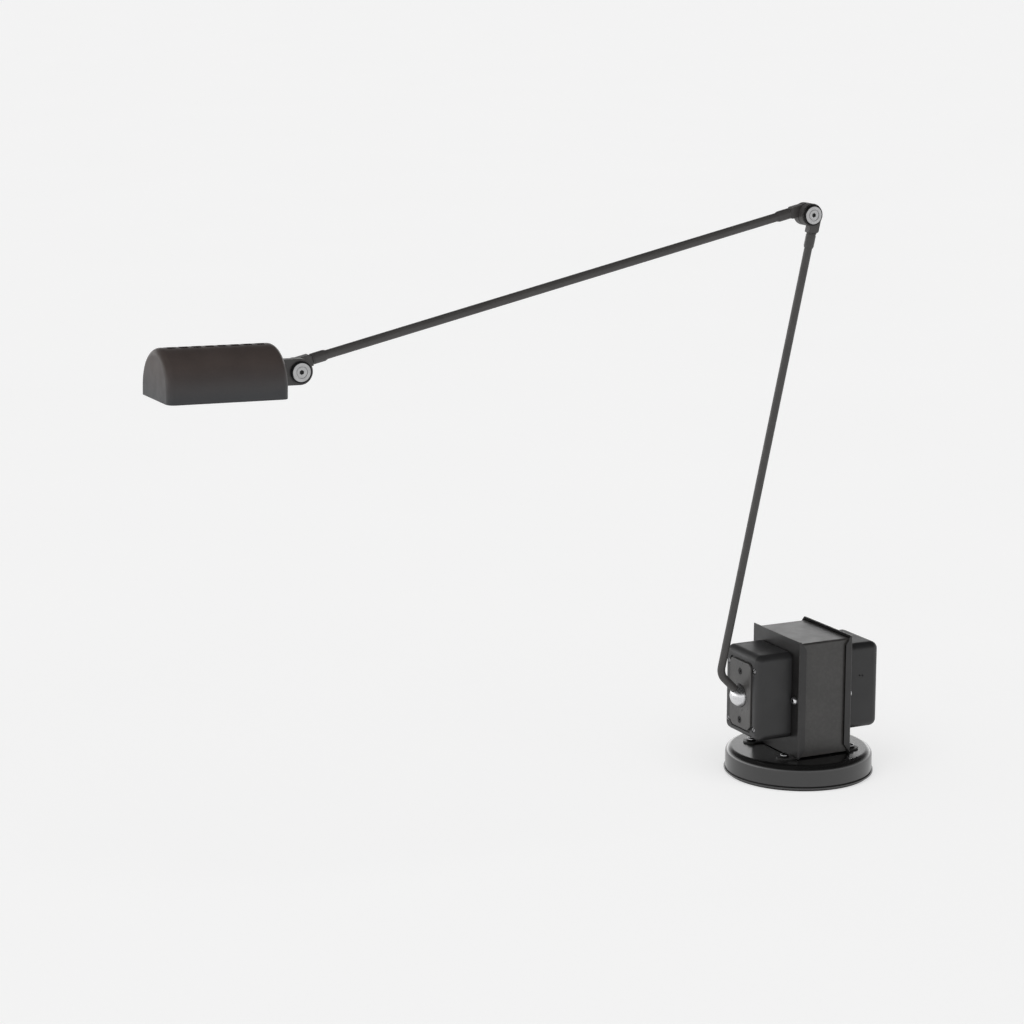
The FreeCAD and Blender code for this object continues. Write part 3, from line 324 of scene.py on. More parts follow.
SURFACES = {
    "floor": pale_floor("pale_floor"),
    "base_gloss": paint("base_gloss_black", (0.0035, 0.0034, 0.0033), (0.16, 0.24), (0.8, 1.2), 700.0,
                        0.000006, IOR=1.75),
    "ballast_iron": paint("ballast_iron", (0.08, 0.08, 0.085), (0.6, 0.8), grain_height=0.0001),
    "foot_pad": paint("foot_pad", (0.018, 0.018, 0.018), (0.75, 0.95), grain_height=0.00006),
    "cover_paint": paint("cover_satin_grey", (0.030, 0.0287, 0.0275), (0.31, 0.39), (0.88, 1.12), 1500.0,
                         0.000006, wear=0.25, IOR=1.52),
    # Near-black painted shade for the frames' inner faces.
    "frame_inside_shade": paint("frame_inside_painted_shade", (0.003, 0.003, 0.003), (0.5, 0.7), grain_height=0.00002,
                          Specular_IOR_Level=0.15),
    # Near-black painted shade for the hubs' front rims beside the cups; lighter worn edges.
    "hub_rim_shade": paint("hub_rim_painted_shade", (0.006, 0.006, 0.006), (0.4, 0.55), wear=0.3, Specular_IOR_Level=0.3),
    "frame_paint": paint("frame_satin_grey", (0.013, 0.0124, 0.0125), (0.30, 0.46), (0.72, 1.35), 1500.0,
                         0.000012, wear=0.35),
    "cap_plastic": paint("cap_matte_black", (0.014, 0.014, 0.0145), (0.40, 0.52), (0.9, 1.1), 1800.0,
                         0.00003),
    "plate_paint": paint("plate_satin", (0.050, 0.0485, 0.047), (0.26, 0.38), (0.8, 1.25), 1500.0,
                         0.000012, wear=0.4),
    "arm_paint": paint("arm_powder_grey", (0.044, 0.0415, 0.0405), (0.42, 0.56), (0.88, 1.12), 1700.0,
                       0.00003, wear=0.3),
    # Its fade paints light from above: lighter and warmer at the top, darker at the foot.
    "shade_paint": paint("shade_satin_painted_light", (0.052, 0.041, 0.0375), (0.42, 0.54), (0.88, 1.12), 2000.0,
                         0.000012, fade=(0.327, 0.348, (0.034, 0.035, 0.0375)), Specular_IOR_Level=0.34),
    "bright_steel": metal("bright_plated_steel", (0.72, 0.72, 0.73), (0.22, 0.34)),
    "dark_steel": metal("blued_steel", (0.24, 0.24, 0.245), (0.14, 0.24)),
    # Near-black painted shade inside screw sockets and mark dimples.
    "socket_shade": paint("socket_painted_shade", (0.004, 0.004, 0.004), (0.5, 0.7), grain_height=0.00002),
    "elbow_disc": metal("turned_disc_elbow", (0.46, 0.46, 0.465), (0.24, 0.36), rings=ELBOW),
    "head_disc": metal("turned_disc_head", (0.46, 0.46, 0.465), (0.24, 0.36), rings=HEAD),
    "black_steel": paint("blackened_steel", (0.003, 0.003, 0.003), (0.3, 0.45), wear=0.5,
                         Specular_IOR_Level=0.2),
    "core_steel": layered("core_laminations", (0.2, 0.2, 0.21), (0.4, 0.6), 0.5, "X", 0.8),
    "bobbin_plastic": paint("bobbin_natural", (0.72, 0.68, 0.56), (0.45, 0.6), (0.94, 1.04)),
    "copper_wire": layered("copper_winding", (0.55, 0.21, 0.08), (0.2, 0.35), 0.6, "Y", 0.9),
    "nylon": paint("nylon_natural", (0.74, 0.72, 0.66), (0.4, 0.55), (0.95, 1.04)),
    "terminal_brass": metal("terminal_brass", (0.72, 0.53, 0.24), (0.2, 0.35)),
    "ceramic": paint("holder_ceramic", (0.82, 0.81, 0.77), (0.5, 0.7), (0.93, 1.03)),
    "bulb_quartz": clear_glass("bulb_quartz"),
    "tungsten": metal("tungsten_wire", (0.32, 0.31, 0.3), (0.3, 0.5)),
    "reflector_alu": metal("reflector_bright", (0.88, 0.88, 0.89), (0.12, 0.24), brushed=(0.04, 1.0, 1.0)),
    "rocker_plastic": paint("rocker_gloss", (0.012, 0.012, 0.012), (0.14, 0.26), grain_height=0.000008),
    "soft_rubber": paint("grommet_rubber", (0.02, 0.02, 0.02), (0.6, 0.8)),
    "lead_jacket": paint("lead_jacket", (0.03, 0.03, 0.03), (0.4, 0.55)),
}

# ---- shapes


def rounded(points, radius, steps=4, closed=False):
    """Polyline whose corners are turned into small arcs. A point may carry its own radius."""
    result = []
    count = len(points)
    for index, point in enumerate(points):
        here = Vector(point[:2])
        own = point[2] if len(point) > 2 else radius
        if own <= 0 or (not closed and index in (0, count - 1)):
            result.append(tuple(here))
            continue
        before = Vector(points[index - 1][:2]) - here
        after = Vector(points[(index + 1) % count][:2]) - here
        half = before.angle(after) / 2
        reach = min(own / math.tan(half), before.length * 0.49, after.length * 0.49)
        real = reach * math.tan(half)
        centre = here + (before.normalized() + after.normalized()).normalized() * (real / math.sin(half))
        first = here + before.normalized() * reach - centre
        last = here + after.normalized() * reach - centre
        turn = first.angle_signed(last)
        for step in range(steps + 1):
            arm = first.copy()
            arm.rotate(Matrix.Rotation(-turn * step / steps, 2))
            result.append(tuple(centre + arm))
    return result


def outward(bm):
    bmesh.ops.recalc_face_normals(bm, faces=bm.faces)
    return bm


def turned(levels, sides, closed=False):
    """Surface about local Z through rings (radius, height); a radius may be a function of the angle."""
    bm = bmesh.new()
    loops = []
    for radius, height in levels:
        if radius == 0:
            loops.append([bm.verts.new((0, 0, height))])
            continue
        loop = []
        for side in range(sides):
            angle = 2 * math.pi * side / sides
            reach = radius(angle) if callable(radius) else radius
            loop.append(bm.verts.new((reach * math.cos(angle), reach * math.sin(angle), height)))
        loops.append(loop)
    pairs = list(zip(loops, loops[1:]))
    if closed:
        pairs.append((loops[-1], loops[0]))
    for lower, upper in pairs:
        for side in range(sides):
            other = (side + 1) % sides
            ring = [lower[side % len(lower)], lower[other % len(lower)]]
            ring += [upper[other % len(upper)], upper[side % len(upper)]]
            corners = list(dict.fromkeys(ring))
            if len(corners) > 2:
                bm.faces.new(corners)
    return outward(bm)


def cylinder(radius, start, end, sides):
    return turned([(0, start), (radius, start), (radius, end), (0, end)], sides)


def skin(bm, loops):
    """Quads between each ring of points and the next."""
    for first, second in zip(loops, loops[1:]):
        count = len(first)
        for k in range(count):
            other = (k + 1) % count
            bm.faces.new((first[k], first[other], second[other], second[k]))


def closed_skin(bm, loops):
    skin(bm, loops)
    bm.faces.new(loops[0])
    bm.faces.new(loops[-1])
    return outward(bm)


def paint_socket_shade(bm, reach, height):
    """Mark the faces of a socket, inside a radius and below a height, for the near-black painted shade."""
    for face in bm.faces:
        centre = face.calc_center_median()
        if max(vert.co.xy.length for vert in face.verts) < reach and centre.z < height:
            face.material_index = 1
    return bm


def lathe(profile, radius, sides, closed=False):
    return turned(rounded(profile, radius, 3, closed), sides, closed)


def hexagon(across_flats):
    """Radius of a hexagon at an angle."""
    def reach(angle):
        turn = math.radians(60)
        return across_flats / 2 / math.cos((angle + turn / 2) % turn - turn / 2)
    return reach


def plate(outline, start, end, edge=0.25, steps=2):
    """Flat plate from a closed outline, its rims softened."""
    own = bmesh.new()
    floor = own.faces.new([own.verts.new((u, v, start)) for u, v in outline])
    made = bmesh.ops.extrude_face_region(own, geom=[floor])
    top = [item for item in made["geom"] if isinstance(item, bmesh.types.BMVert)]
    bmesh.ops.translate(own, verts=top, vec=(0, 0, end - start))
    outward(own)
    if edge > 0:
        rims = [e for e in own.edges if abs(e.verts[0].co.z - e.verts[1].co.z) < 1e-6]
        bmesh.ops.bevel(own, geom=rims, offset=edge, segments=steps, profile=0.5, affect="EDGES",
                        clamp_overlap=True)
    return merge([own])


def block(corner_a, corner_b, edge=0.3, steps=3, keep_sharp=None):
    """Box between two corners with rounded edges, except those that keep_sharp picks."""
    bm = bmesh.new()
    bmesh.ops.create_cube(bm, size=1.0)
    a, b = Vector(corner_a), Vector(corner_b)
    for vert in bm.verts:
        vert.co = [a[k] if vert.co[k] < 0 else b[k] for k in range(3)]
    edges = [e for e in bm.edges if not (keep_sharp and keep_sharp(e))]
    if edge > 0:
        bmesh.ops.bevel(bm, geom=edges, offset=edge, segments=steps, profile=0.5, affect="EDGES")
    return outward(bm)


def merge(parts):
    """All parts in one mesh."""
    whole = bmesh.new()
    for part in parts:
        mesh = bpy.data.meshes.new("part")
        part.to_mesh(mesh)
        part.free()
        whole.from_mesh(mesh)
        bpy.data.meshes.remove(mesh)
    return whole


def moved(bm, matrix):
    bm.transform(matrix)
    if matrix.determinant() < 0:
        bmesh.ops.reverse_faces(bm, faces=bm.faces)
    return bm


def shift(x, y, z):
    return Matrix.Translation((x, y, z))


def spin(degrees, axis="Z"):
    return Matrix.Rotation(math.radians(degrees), 4, axis)


def pipe(points, radius, wall, sides=48, soft=0.25):
    """Open tube with a wall that follows a plane path, its ends softened."""
    count = len(points)
    tangents = []
    for index in range(count):
        ahead = points[min(index + 1, count - 1)] - points[max(index - 1, 0)]
        tangents.append(ahead.normalized())
    rings = [(points[0], tangents[0], radius - soft)]
    rings.append((points[0] + tangents[0] * soft, tangents[0], radius))
    for index in range(1, count - 1):
        rings.append((points[index], tangents[index], radius))
    rings.append((points[-1] - tangents[-1] * soft, tangents[-1], radius))
    rings.append((points[-1], tangents[-1], radius - soft))
    rings += [(place, way, radius - wall) for place, way, _ in reversed(rings)]
    bm = bmesh.new()
    across = Vector((0, 1, 0))
    turns = [2 * math.pi * side / sides for side in range(sides)]
    loops = []
    for place, way, reach in rings:
        up = way.cross(across)
        spots = [place + across * reach * math.cos(a) + up * reach * math.sin(a) for a in turns]
        loops.append([bm.verts.new(spot) for spot in spots])
    skin(bm, loops + loops[:1])
    return outward(bm)


def tool_object(bm):
    mesh = bpy.data.meshes.new("tool")
    bm.to_mesh(mesh)
    bm.free()
    return put("tool", mesh)


def settle(made):
    """Turn an object's modifiers into its mesh."""
    graph = bpy.context.evaluated_depsgraph_get()
    mesh = bpy.data.meshes.new_from_object(made.evaluated_get(graph))
    made.modifiers.clear()
    old = made.data
    made.data = mesh
    bpy.data.meshes.remove(old)


def carved(body, tools=(), added=(), soften=0.0, steps=2):
    """Solid with others cut from it or joined to it, its sharp edges then softened."""
    made = tool_object(body)
    helpers = []
    for kind, group in (("UNION", added), ("DIFFERENCE", tools)):
        for tool in group:
            helper = tool_object(tool)
            helpers.append(helper)
            cut = made.modifiers.new(kind, "BOOLEAN")
            cut.operation = kind
            cut.solver = "EXACT"
            cut.object = helper
    if soften:
        bevel = made.modifiers.new("soften", "BEVEL")
        bevel.width = soften
        bevel.segments = steps
        bevel.limit_method = "ANGLE"
        bevel.angle_limit = math.radians(32)
        bevel.use_clamp_overlap = True
        bevel.miter_outer = "MITER_ARC"
    settle(made)
    bm = bmesh.new()
    bm.from_mesh(made.data)
    for used in [made] + helpers:
        mesh = used.data
        bpy.data.objects.remove(used)
        bpy.data.meshes.remove(mesh)
    return bm


def piece(name, bm, body, slot, node, surface=None, matrix=ROW, second="socket_shade"):
    """Finished piece of the lamp: in place, shaded, riding on its body."""
    moved(bm, matrix)
    bmesh.ops.dissolve_degenerate(bm, dist=1e-7, edges=bm.edges)
    mesh = bpy.data.meshes.new(name)
    bm.to_mesh(mesh)
    bm.free()
    for polygon in mesh.polygons:
        polygon.use_smooth = True
    mesh.set_sharp_from_angle(angle=math.radians(35))
    made = put(name, mesh)
    weights = made.modifiers.new("weights", "WEIGHTED_NORMAL")
    weights.keep_sharp = True
    settle(made)
    made.data.name = name
    made.data.materials.append(SURFACES[surface or slot])
    # Faces marked with index 1 take the second surface, a near-black painted shade.
    if any(polygon.material_index for polygon in made.data.polygons):
        made.data.materials.append(SURFACES[second])
    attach(made, body)
    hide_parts(node)


# ---- base

LIP_R = high("base_cover").x
LIP_T = 1.5
BASE_R = LIP_R - 1.1
BASE_WALL = 1.5
SHOULDER_R = 5.0
GROOVE, GROOVE_T = 0.45, 0.5
BASE_TOP = high("base_cover").z
BASE_LOW = low("base_cover").z
MID_X = (low("end_frame_left").x + high("end_frame_right").x) / 2
PAD_T = high("base_pad").z
LUG_Y = 24.0
FOOT_HEAD = [
    (0, -8, 0), (1.5, -8, 0.1), (1.5, 0, 0), (2.7, 0, 0.15), (2.9, 0.5, 0.2), (2.75, 1.3, 0.5),
    (1.9, 1.9, 0.4), (1.55, 1.9, 0.05),
]


def foot_places():
    """Centres of the four foot screws, left ones first."""
    lo, hi = span("foot_washers")
    radius = (hi.y - lo.y) / 2 - LUG_Y
    return [(x, y) for x in (lo.x + radius, hi.x - radius) for y in (-LUG_Y, LUG_Y)]


def make_base():
    inner, lip_top = BASE_R - BASE_WALL, BASE_LOW + LIP_T
    profile = [
        (0.001, BASE_TOP - BASE_WALL, 0), (inner, BASE_TOP - BASE_WALL, 3.5), (inner, BASE_LOW, 0.2),
        (LIP_R - 0.05, BASE_LOW, 0.4), (LIP_R, lip_top, 0.45), (BASE_R - GROOVE, lip_top, 0.1),
        (BASE_R - GROOVE, lip_top + GROOVE_T, 0.1), (BASE_R, lip_top + GROOVE_T, 0.12),
        (BASE_R, BASE_TOP, SHOULDER_R), (0.001, BASE_TOP, 0),
    ]
    shell = turned(rounded(profile, 0.2, 10), 192)
    piece("base_cover_shell", shell, "base", "base_gloss", "base_cover")
    pad_r = high("base_pad").x
    pad = [
        (0, 0, 0), (pad_r - 0.3, 0, 0.2), (pad_r, 0.3, 0.2), (pad_r, PAD_T - 0.2, 0.15),
        (pad_r - 0.2, PAD_T, 0.1), (0, PAD_T, 0),
    ]
    piece("base_pad_disc", lathe(pad, 0.2, 128), "base", "foot_pad", "base_pad")
    screws, washers = [], []
    lo, hi = span("foot_washers")
    seat, floor = hi.z, lo.z
    star = hexagon(2.4)
    for index, (x, y) in enumerate(foot_places()):
        rings = rounded(FOOT_HEAD, 0.2, 3) + [(star, 1.85), (star, 0.75), (0, 0.55)]
        screws.append(moved(turned(rings, 48), shift(x, y, seat) @ spin(17 + 41 * index)))
        washer = [(1.6, 0), (3.6, 0), (3.6, seat - floor), (1.6, seat - floor)]
        washers.append(moved(lathe(washer, 0.12, 48, True), shift(x, y, floor)))
    piece("foot_screw_heads", merge(screws), "base", "bright_steel", "foot_screws", "dark_steel")
    piece("foot_washer_rings", merge(washers), "base", "black_steel", "foot_washers")


# ---- transformer

PLATE_X = 23.15
SHEET, COVER_WALL = 1.2, 0.7
FLANGE_W, FRAME_LIFT = 5.95, 0.6
MITRE_START, MITRE_END = 0.3, 7.1
WINDOW_Y, WINDOW_Z = 16.6, 26
LUG_R = 6.0
BOLT_HEAD = [(3.0, 0, 0.1), (3.0, 0.9, 0.5), (2.5, 1.9, 0.6), (1.75, 2.3, 0.3), (1.45, 2.3, 0.05)]
LUG_X = foot_places()[-1][0] - MID_X
ON_BASE = ROW @ shift(MID_X, 0, 0)
FRAME_Y = high("end_frame_right").y
FRAME_TOP = high("end_frame_right").z
CORE_MID = 65.0


def frame_shape():
    """Right-hand frame: folded sheet with mitred flange ends, window and two lugs."""
    inner, flange = PLATE_X - SHEET, PLATE_X - FLANGE_W
    bottom, inside_y = BASE_TOP + FRAME_LIFT, FRAME_Y - SHEET
    section = [
        (flange, -FRAME_Y, 0.1), (PLATE_X, -FRAME_Y, 1.5), (PLATE_X, FRAME_Y, 1.5), (flange, FRAME_Y, 0.1),
        (flange, inside_y, 0.1), (inner, inside_y, 0.5), (inner, -inside_y, 0.5), (flange, -inside_y, 0.1),
    ]
    web = plate(rounded(section, 0.1, 4, True), bottom, FRAME_TOP, 0)
    corner = [
        (inner - 0.05, -1), (inner - 0.05, MITRE_START), (flange - 0.5, MITRE_END), (flange - 3, MITRE_END),
        (flange - 3, -1),
    ]
    tools = []
    for edge, way in ((FRAME_TOP, -1), (bottom, 1)):
        outline = [(x, edge + way * reach) for x, reach in corner]
        tools.append(moved(plate(outline, -50, 50, 0), ALONG_Y))
    window = (-WINDOW_Y, CORE_MID - WINDOW_Z), (WINDOW_Y, CORE_MID + WINDOW_Z)
    tools.append(block((inner - 2, *window[0]), (PLATE_X + 2, *window[1]), 0))
    lugs = []
    arc = [math.radians(angle) for angle in range(15, 180, 15)]
    for y in (-LUG_Y, LUG_Y):
        outline = [(inner + 0.2, y - LUG_R), (LUG_X, y - LUG_R)]
        outline += [(LUG_X + LUG_R * math.sin(a), y - LUG_R * math.cos(a)) for a in arc]
        outline += [(LUG_X, y + LUG_R), (inner + 0.2, y + LUG_R)]
        lugs.append(plate(outline, BASE_TOP, BASE_TOP + SHEET, 0))
    shape = carved(web, tools, lugs, soften=0.22)
    # Inner faces of the plate take the near-black painted shade.
    for face in shape.faces:
        if face.normal.x < -0.9 and face.calc_center_median().x < PLATE_X:
            face.material_index = 1
    return shape


def make_transformer():
    for name, shape, node in (("frame_right", frame_shape(), "end_frame_right"),
                              ("frame_left", moved(frame_shape(), MIRROR_X), "end_frame_left")):
        piece(name, shape, "base", "frame_paint", node, None, ON_BASE, "frame_inside_shade")
    lo, hi = span("transformer_cover")
    y_low, y_high, z_high = lo.y + COVER_WALL, hi.y - COVER_WALL, hi.z - COVER_WALL
    section = [
        (lo.y, lo.z, 0.1), (lo.y, hi.z, 1.8), (hi.y, hi.z, 1.8), (hi.y, lo.z, 0.1),
        (y_high, lo.z, 0.1), (y_high, z_high, 0.8), (y_low, z_high, 0.8), (y_low, lo.z, 0.1),
    ]
    sheet = moved(plate(rounded(section, 0.1, 6, True), lo.x, hi.x, 0.2), ALONG_X)
    piece("cover_sheet", sheet, "base", "frame_paint", "transformer_cover", "cover_paint")
    lo, hi = span("clamp_bolts")
    bolt_y, bolt_z = hi.y - 3.0, (hi.z + lo.z) / 2
    socket = hexagon(2.2)
    dish = [(socket, 2.25), (socket, 1.1), (0, 0.95)]
    bolt = [(0, -2 * PLATE_X - 1, 0), (1.8, -2 * PLATE_X - 1, 0.1), (1.8, 0, 0)] + BOLT_HEAD
    bolt_rings = rounded(bolt, 0.2, 3) + dish
    nut_rings = rounded([(1.8, 0, 0)] + BOLT_HEAD, 0.2, 3) + dish + [(0, 1.05), (1.8, 1.05)]
    bolts, nuts = [], []
    for index, y in enumerate((-bolt_y, bolt_y)):
        turn = spin(13 + 29 * index)
        # The hex sockets of bolts and nuts take the painted shade.
        shape = moved(paint_socket_shade(turned(bolt_rings, 48), 1.3, 2.26), turn)
        bolts.append(moved(shape, shift(-PLATE_X, y, bolt_z) @ spin(180) @ ALONG_X))
        shape = moved(paint_socket_shade(turned(nut_rings, 48, True), 1.3, 2.26), turn)
        nuts.append(moved(shape, shift(PLATE_X, y, bolt_z) @ ALONG_X))
    piece("clamp_bolt_pair", merge(bolts), "base", "bright_steel", "clamp_bolts", None, ON_BASE)
    piece("clamp_nut_pair", merge(nuts), "base", "bright_steel", "clamp_nuts", None, ON_BASE)


# ---- end caps

CAP_FACE = high("right_cap_screws").x + 0.1
CAP_END = CAP_FACE - MID_X
CAP_EDGE, STEP_X, STEP_IN = 5.6, 1.2, 1.1
CAP_Y = 24.5
CAP_LOW = low("left_end_cap").z
CAP_HIGH = high("left_end_cap").z
CAP_WALL = 2.2
CAP_SCREWS = [(y, z) for y in (-18.6, 18.6) for z in (43.0, 88.0)]
SEAT_R, SEAT_DEPTH = 2.3, 1.1
CAP_SCREW = [
    (0, -30, 0), (1.25, -30, 0.1), (1.25, -1.1, 0), (1.9, -1.1, 0.1), (2.0, -0.6, 0.15), (1.8, -0.15, 0.3),
    (0, -0.1, 0),
]
PLATE_SCREW = [
    (0, -8, 0), (1.5, -8, 0.1), (1.5, -1.0, 0), (2.4, -1.0, 0.1), (2.4, -0.3, 0.2), (2.1, -0.1, 0.15),
    (1.1, -0.1, 0.05),
]
BALL_HOLE_R, INLET_R = 8.9, 4.4
INLET = (low("cord_grommet") + high("cord_grommet")) / 2
MARK = Vector((36.85, -CAP_Y, 75.6))
MARK_DOTS = ((-1.2, 0.2), (1.4, -0.2))
MARK_MIDDLE = Vector((36.95, -CAP_Y, 75.6))
MARK_SHADE_REACH = 2.4


def across_frame(edge):
    return all(abs(vert.co.x - PLATE_X) < 1e-4 for vert in edge.verts)


def cap_shape(extra_tools):
    """Right-hand cap: a hollow rounded box, open at the frame, with four sunk screw seats."""
    wall = CAP_WALL
    outer = block((PLATE_X, -CAP_Y, CAP_LOW), (CAP_END, CAP_Y, CAP_HIGH), CAP_EDGE, 10, across_frame)
    far = (CAP_END - wall, CAP_Y - wall, CAP_HIGH - wall)
    inside = block((PLATE_X - 9, wall - CAP_Y, CAP_LOW + wall), far, 3.4, 5)
    tools = [inside, rim_step()]
    for y, z in CAP_SCREWS:
        tools.append(moved(cylinder(SEAT_R, -SEAT_DEPTH, 3, 32), shift(CAP_END, y, z) @ ALONG_X))
    return carved(outer, tools + extra_tools, soften=0.22)


def rim_step():
    """Frame-shaped cutter for the shallow step round the cap's open end."""
    reach = CAP_Y + 2
    outer = [(-reach, CAP_LOW - 2), (reach, CAP_LOW - 2), (reach, CAP_HIGH + 2), (-reach, CAP_HIGH + 2)]
    y, z_low, z_high = CAP_Y - STEP_IN, CAP_LOW + STEP_IN, CAP_HIGH - STEP_IN
    inner = rounded([(-y, z_low), (y, z_low), (y, z_high), (-y, z_high)], CAP_EDGE - STEP_IN, 8, True)
    skirt = moved(plate(inner, PLATE_X - 2, PLATE_X + STEP_X + 1, 0), ALONG_X)
    around = moved(plate(outer, PLATE_X - 1, PLATE_X + STEP_X, 0), ALONG_X)
    return carved(around, [skirt])


def screw_seats():
    """Bosses' floors close the seats, so that no hole shows beside a screw."""
    rings = []
    for y, z in CAP_SCREWS:
        disc = turned([(1.5, -3.6), (3.4, -3.6), (3.4, -1.15), (1.5, -1.15)], 32, True)
        rings.append(moved(disc, shift(CAP_END, y, z) @ ALONG_X))
    return rings


def cap_screw_set():
    screws = []
    for index, (y, z) in enumerate(CAP_SCREWS):
        body = turned(rounded(CAP_SCREW, 0.15, 3), 40)
        slot = block((-0.35, -3, -0.6), (0.35, 3, 1), 0)
        shape = moved(carved(body, [slot], soften=0.06), spin(23 + 47 * index))
        screws.append(moved(shape, shift(CAP_END, y, z) @ ALONG_X))
    return merge(screws)


def plate_outline(grow):
    """Arm plate seen from its end: round upper corners, cut lower ones."""
    lo, hi = span("arm_plate")
    y, bottom, top = hi.y + grow, lo.z - grow, hi.z + grow
    corner = 4.0 - grow * 0.2
    points = [
        (-y + corner, bottom, 0.4), (y - corner, bottom, 0.4), (y, bottom + corner, 0.4), (y, top, 4.0),
        (-y, top, 4.0), (-y, bottom + corner, 0.4),
    ]
    return rounded(points, 0.4, 6, True)


def plate_screw_heights():
    return (BALL.z - 18.7, BALL.z + 18.7)


def make_caps():
    recess = moved(plate(plate_outline(1.4), -CAP_END - 2, -CAP_END + 1.0, 0), ALONG_X)
    hole = moved(cylinder(BALL_HOLE_R, -6, 6, 64), shift(-CAP_END, BALL.y, BALL.z) @ ALONG_X)
    left_tools = [moved(tool, MIRROR_X) for tool in (recess, hole)]
    left = merge([cap_shape(left_tools)] + screw_seats())
    piece("left_cap_shell", moved(left, MIRROR_X), "base", "cap_plastic", "left_end_cap", None, ON_BASE)
    lo, hi = span("switch_body")
    opening = block((CAP_END - 5, lo.y + 1, lo.z + 1), (CAP_END + 3, hi.y - 1, hi.z - 1), 0)
    inlet = moved(cylinder(INLET_R, -6, 6, 40), shift(INLET.x - MID_X, CAP_Y, INLET.z) @ ALONG_Y)
    dimples = []
    for dx, dz in MARK_DOTS:
        dimple = turned([(0, -0.5), (0.7, -0.5), (0.85, 0.6), (0, 0.6)], 20)
        dimples.append(moved(dimple, shift(*(MARK + Vector((dx, 0, dz)))) @ ALONG_Y))
    right = merge([cap_shape([opening, inlet] + dimples)] + screw_seats())
    # Faces inside the two mark dimples take the near-black painted shade.
    for face in right.faces:
        place = face.calc_center_median() - MARK_MIDDLE
        if 0.1 < place.y < 1.0 and math.hypot(place.x, place.z) < MARK_SHADE_REACH:
            face.material_index = 1
    piece("right_cap_shell", right, "base", "cap_plastic", "right_end_cap", None, ON_BASE)
    for name, shape, node in (("right_cap_screw_set", cap_screw_set(), "right_cap_screws"),
                              ("left_cap_screw_set", moved(cap_screw_set(), MIRROR_X), "left_cap_screws")):
        piece(name, shape, "base", "bright_steel", node, "dark_steel", ON_BASE)


def make_arm_plate():
    lo, hi = span("arm_plate")
    blank = moved(plate(plate_outline(0.0), lo.x, hi.x, 0.45, 4), ALONG_X)
    tools = [moved(cylinder(BALL_HOLE_R, -6, 6, 64), shift(lo.x, BALL.y, BALL.z) @ ALONG_X)]
    for z in plate_screw_heights():
        step = turned([(0, -3), (2.6, -3), (2.6, 1.0), (1.6, 1.0), (1.6, 6), (0, 6)], 32)
        tools.append(moved(step, shift(lo.x, 0, z) @ ALONG_X))
    piece("arm_plate_pressing", carved(blank, tools, soften=0.3, steps=3), "base", "plate_paint", "arm_plate")
    socket = hexagon(1.6)
    rings = rounded(PLATE_SCREW, 0.15, 3) + [(socket, -0.12), (socket, -0.7), (0, -0.8)]
    screws = []
    for index, z in enumerate(plate_screw_heights()):
        shape = moved(turned(rings, 48), spin(9 + 31 * index))
        screws.append(moved(shape, shift(lo.x, 0, z) @ spin(180) @ ALONG_X))
    piece("arm_plate_screw_pair", merge(screws), "base", "black_steel", "arm_plate_screws")


# ---- switch and inlet

ROCKER_REACH, ROCKER_REST = 7.6, 9
GROMMET = [
    (2.4, 3.4), (5.4, 3.4), (5.4, 2.2), (4.4, 2.2), (4.4, 0), (5.6, 0), (5.6, -1.0, 0.6), (4.6, -1.6, 0.5),
    (2.9, -1.6, 0.5), (2.4, -1.0, 0.4),
]


def rocker_outline(front):
    """Side view of the level key: hollow front, narrow back about the pin."""
    reach, back = ROCKER_REACH, ROCKER.x - 1.9
    face = []
    for part in range(6):
        dip = 1.4 * math.cos(math.pi / 2 * (part / 5)) ** 1.5
        face.append((front + 0.9 - dip, part / 5 * (reach - 0.4)))
    lower = [(x, -z) for x, z in reversed(face[1:])]
    rear = [(front - 2.6, reach), (back, 2.5), (back, -2.5), (front - 2.6, -reach)]
    return [(x, z + ROCKER.z) for x, z in lower + face + rear]


def make_switch():
    lo, hi = span("switch_body")
    outline = rounded([(lo.y, lo.z), (hi.y, lo.z), (hi.y, hi.z), (lo.y, hi.z)], 1.2, 5, True)
    bezel = plate(outline, CAP_FACE, hi.x, 0.4, 3)
    case = block((lo.x, lo.y + 1.2, lo.z + 1.2), (CAP_FACE + 0.3, hi.y - 1.2, hi.z - 1.2), 0.3)
    pocket = block((ROCKER.x - 4, -5.15, lo.z + 2.0), (CAP_FACE + 5, 5.15, hi.z - 2.0), 0.3)
    body = carved(moved(bezel, ALONG_X), [pocket], [case], soften=0.15)
    about = shift(ROCKER.x, 0, ROCKER.z)
    pin = moved(cylinder(0.9, -6, 6, 24), about @ ALONG_Y)
    piece("switch_frame", merge([body, pin]), "base", "rocker_plastic", "switch_body")
    rocker = moved(plate(rocker_outline(hi.x), -4.8, 4.8, 0.3, 3), ALONG_Y)
    rocker = carved(rocker, [moved(cylinder(0.97, -6, 6, 24), about @ ALONG_Y)])
    tilt = about @ spin(ROCKER_REST, "Y") @ about.inverted()
    piece("switch_key", moved(rocker, tilt), "rocker", "rocker_plastic", "switch_rocker")
    grommet = moved(lathe(GROMMET, 0.2, 48, True), shift(INLET.x, CAP_Y, INLET.z) @ ALONG_Y)
    piece("inlet_grommet", grommet, "base", "soft_rubber", "cord_grommet")


# ---- arms

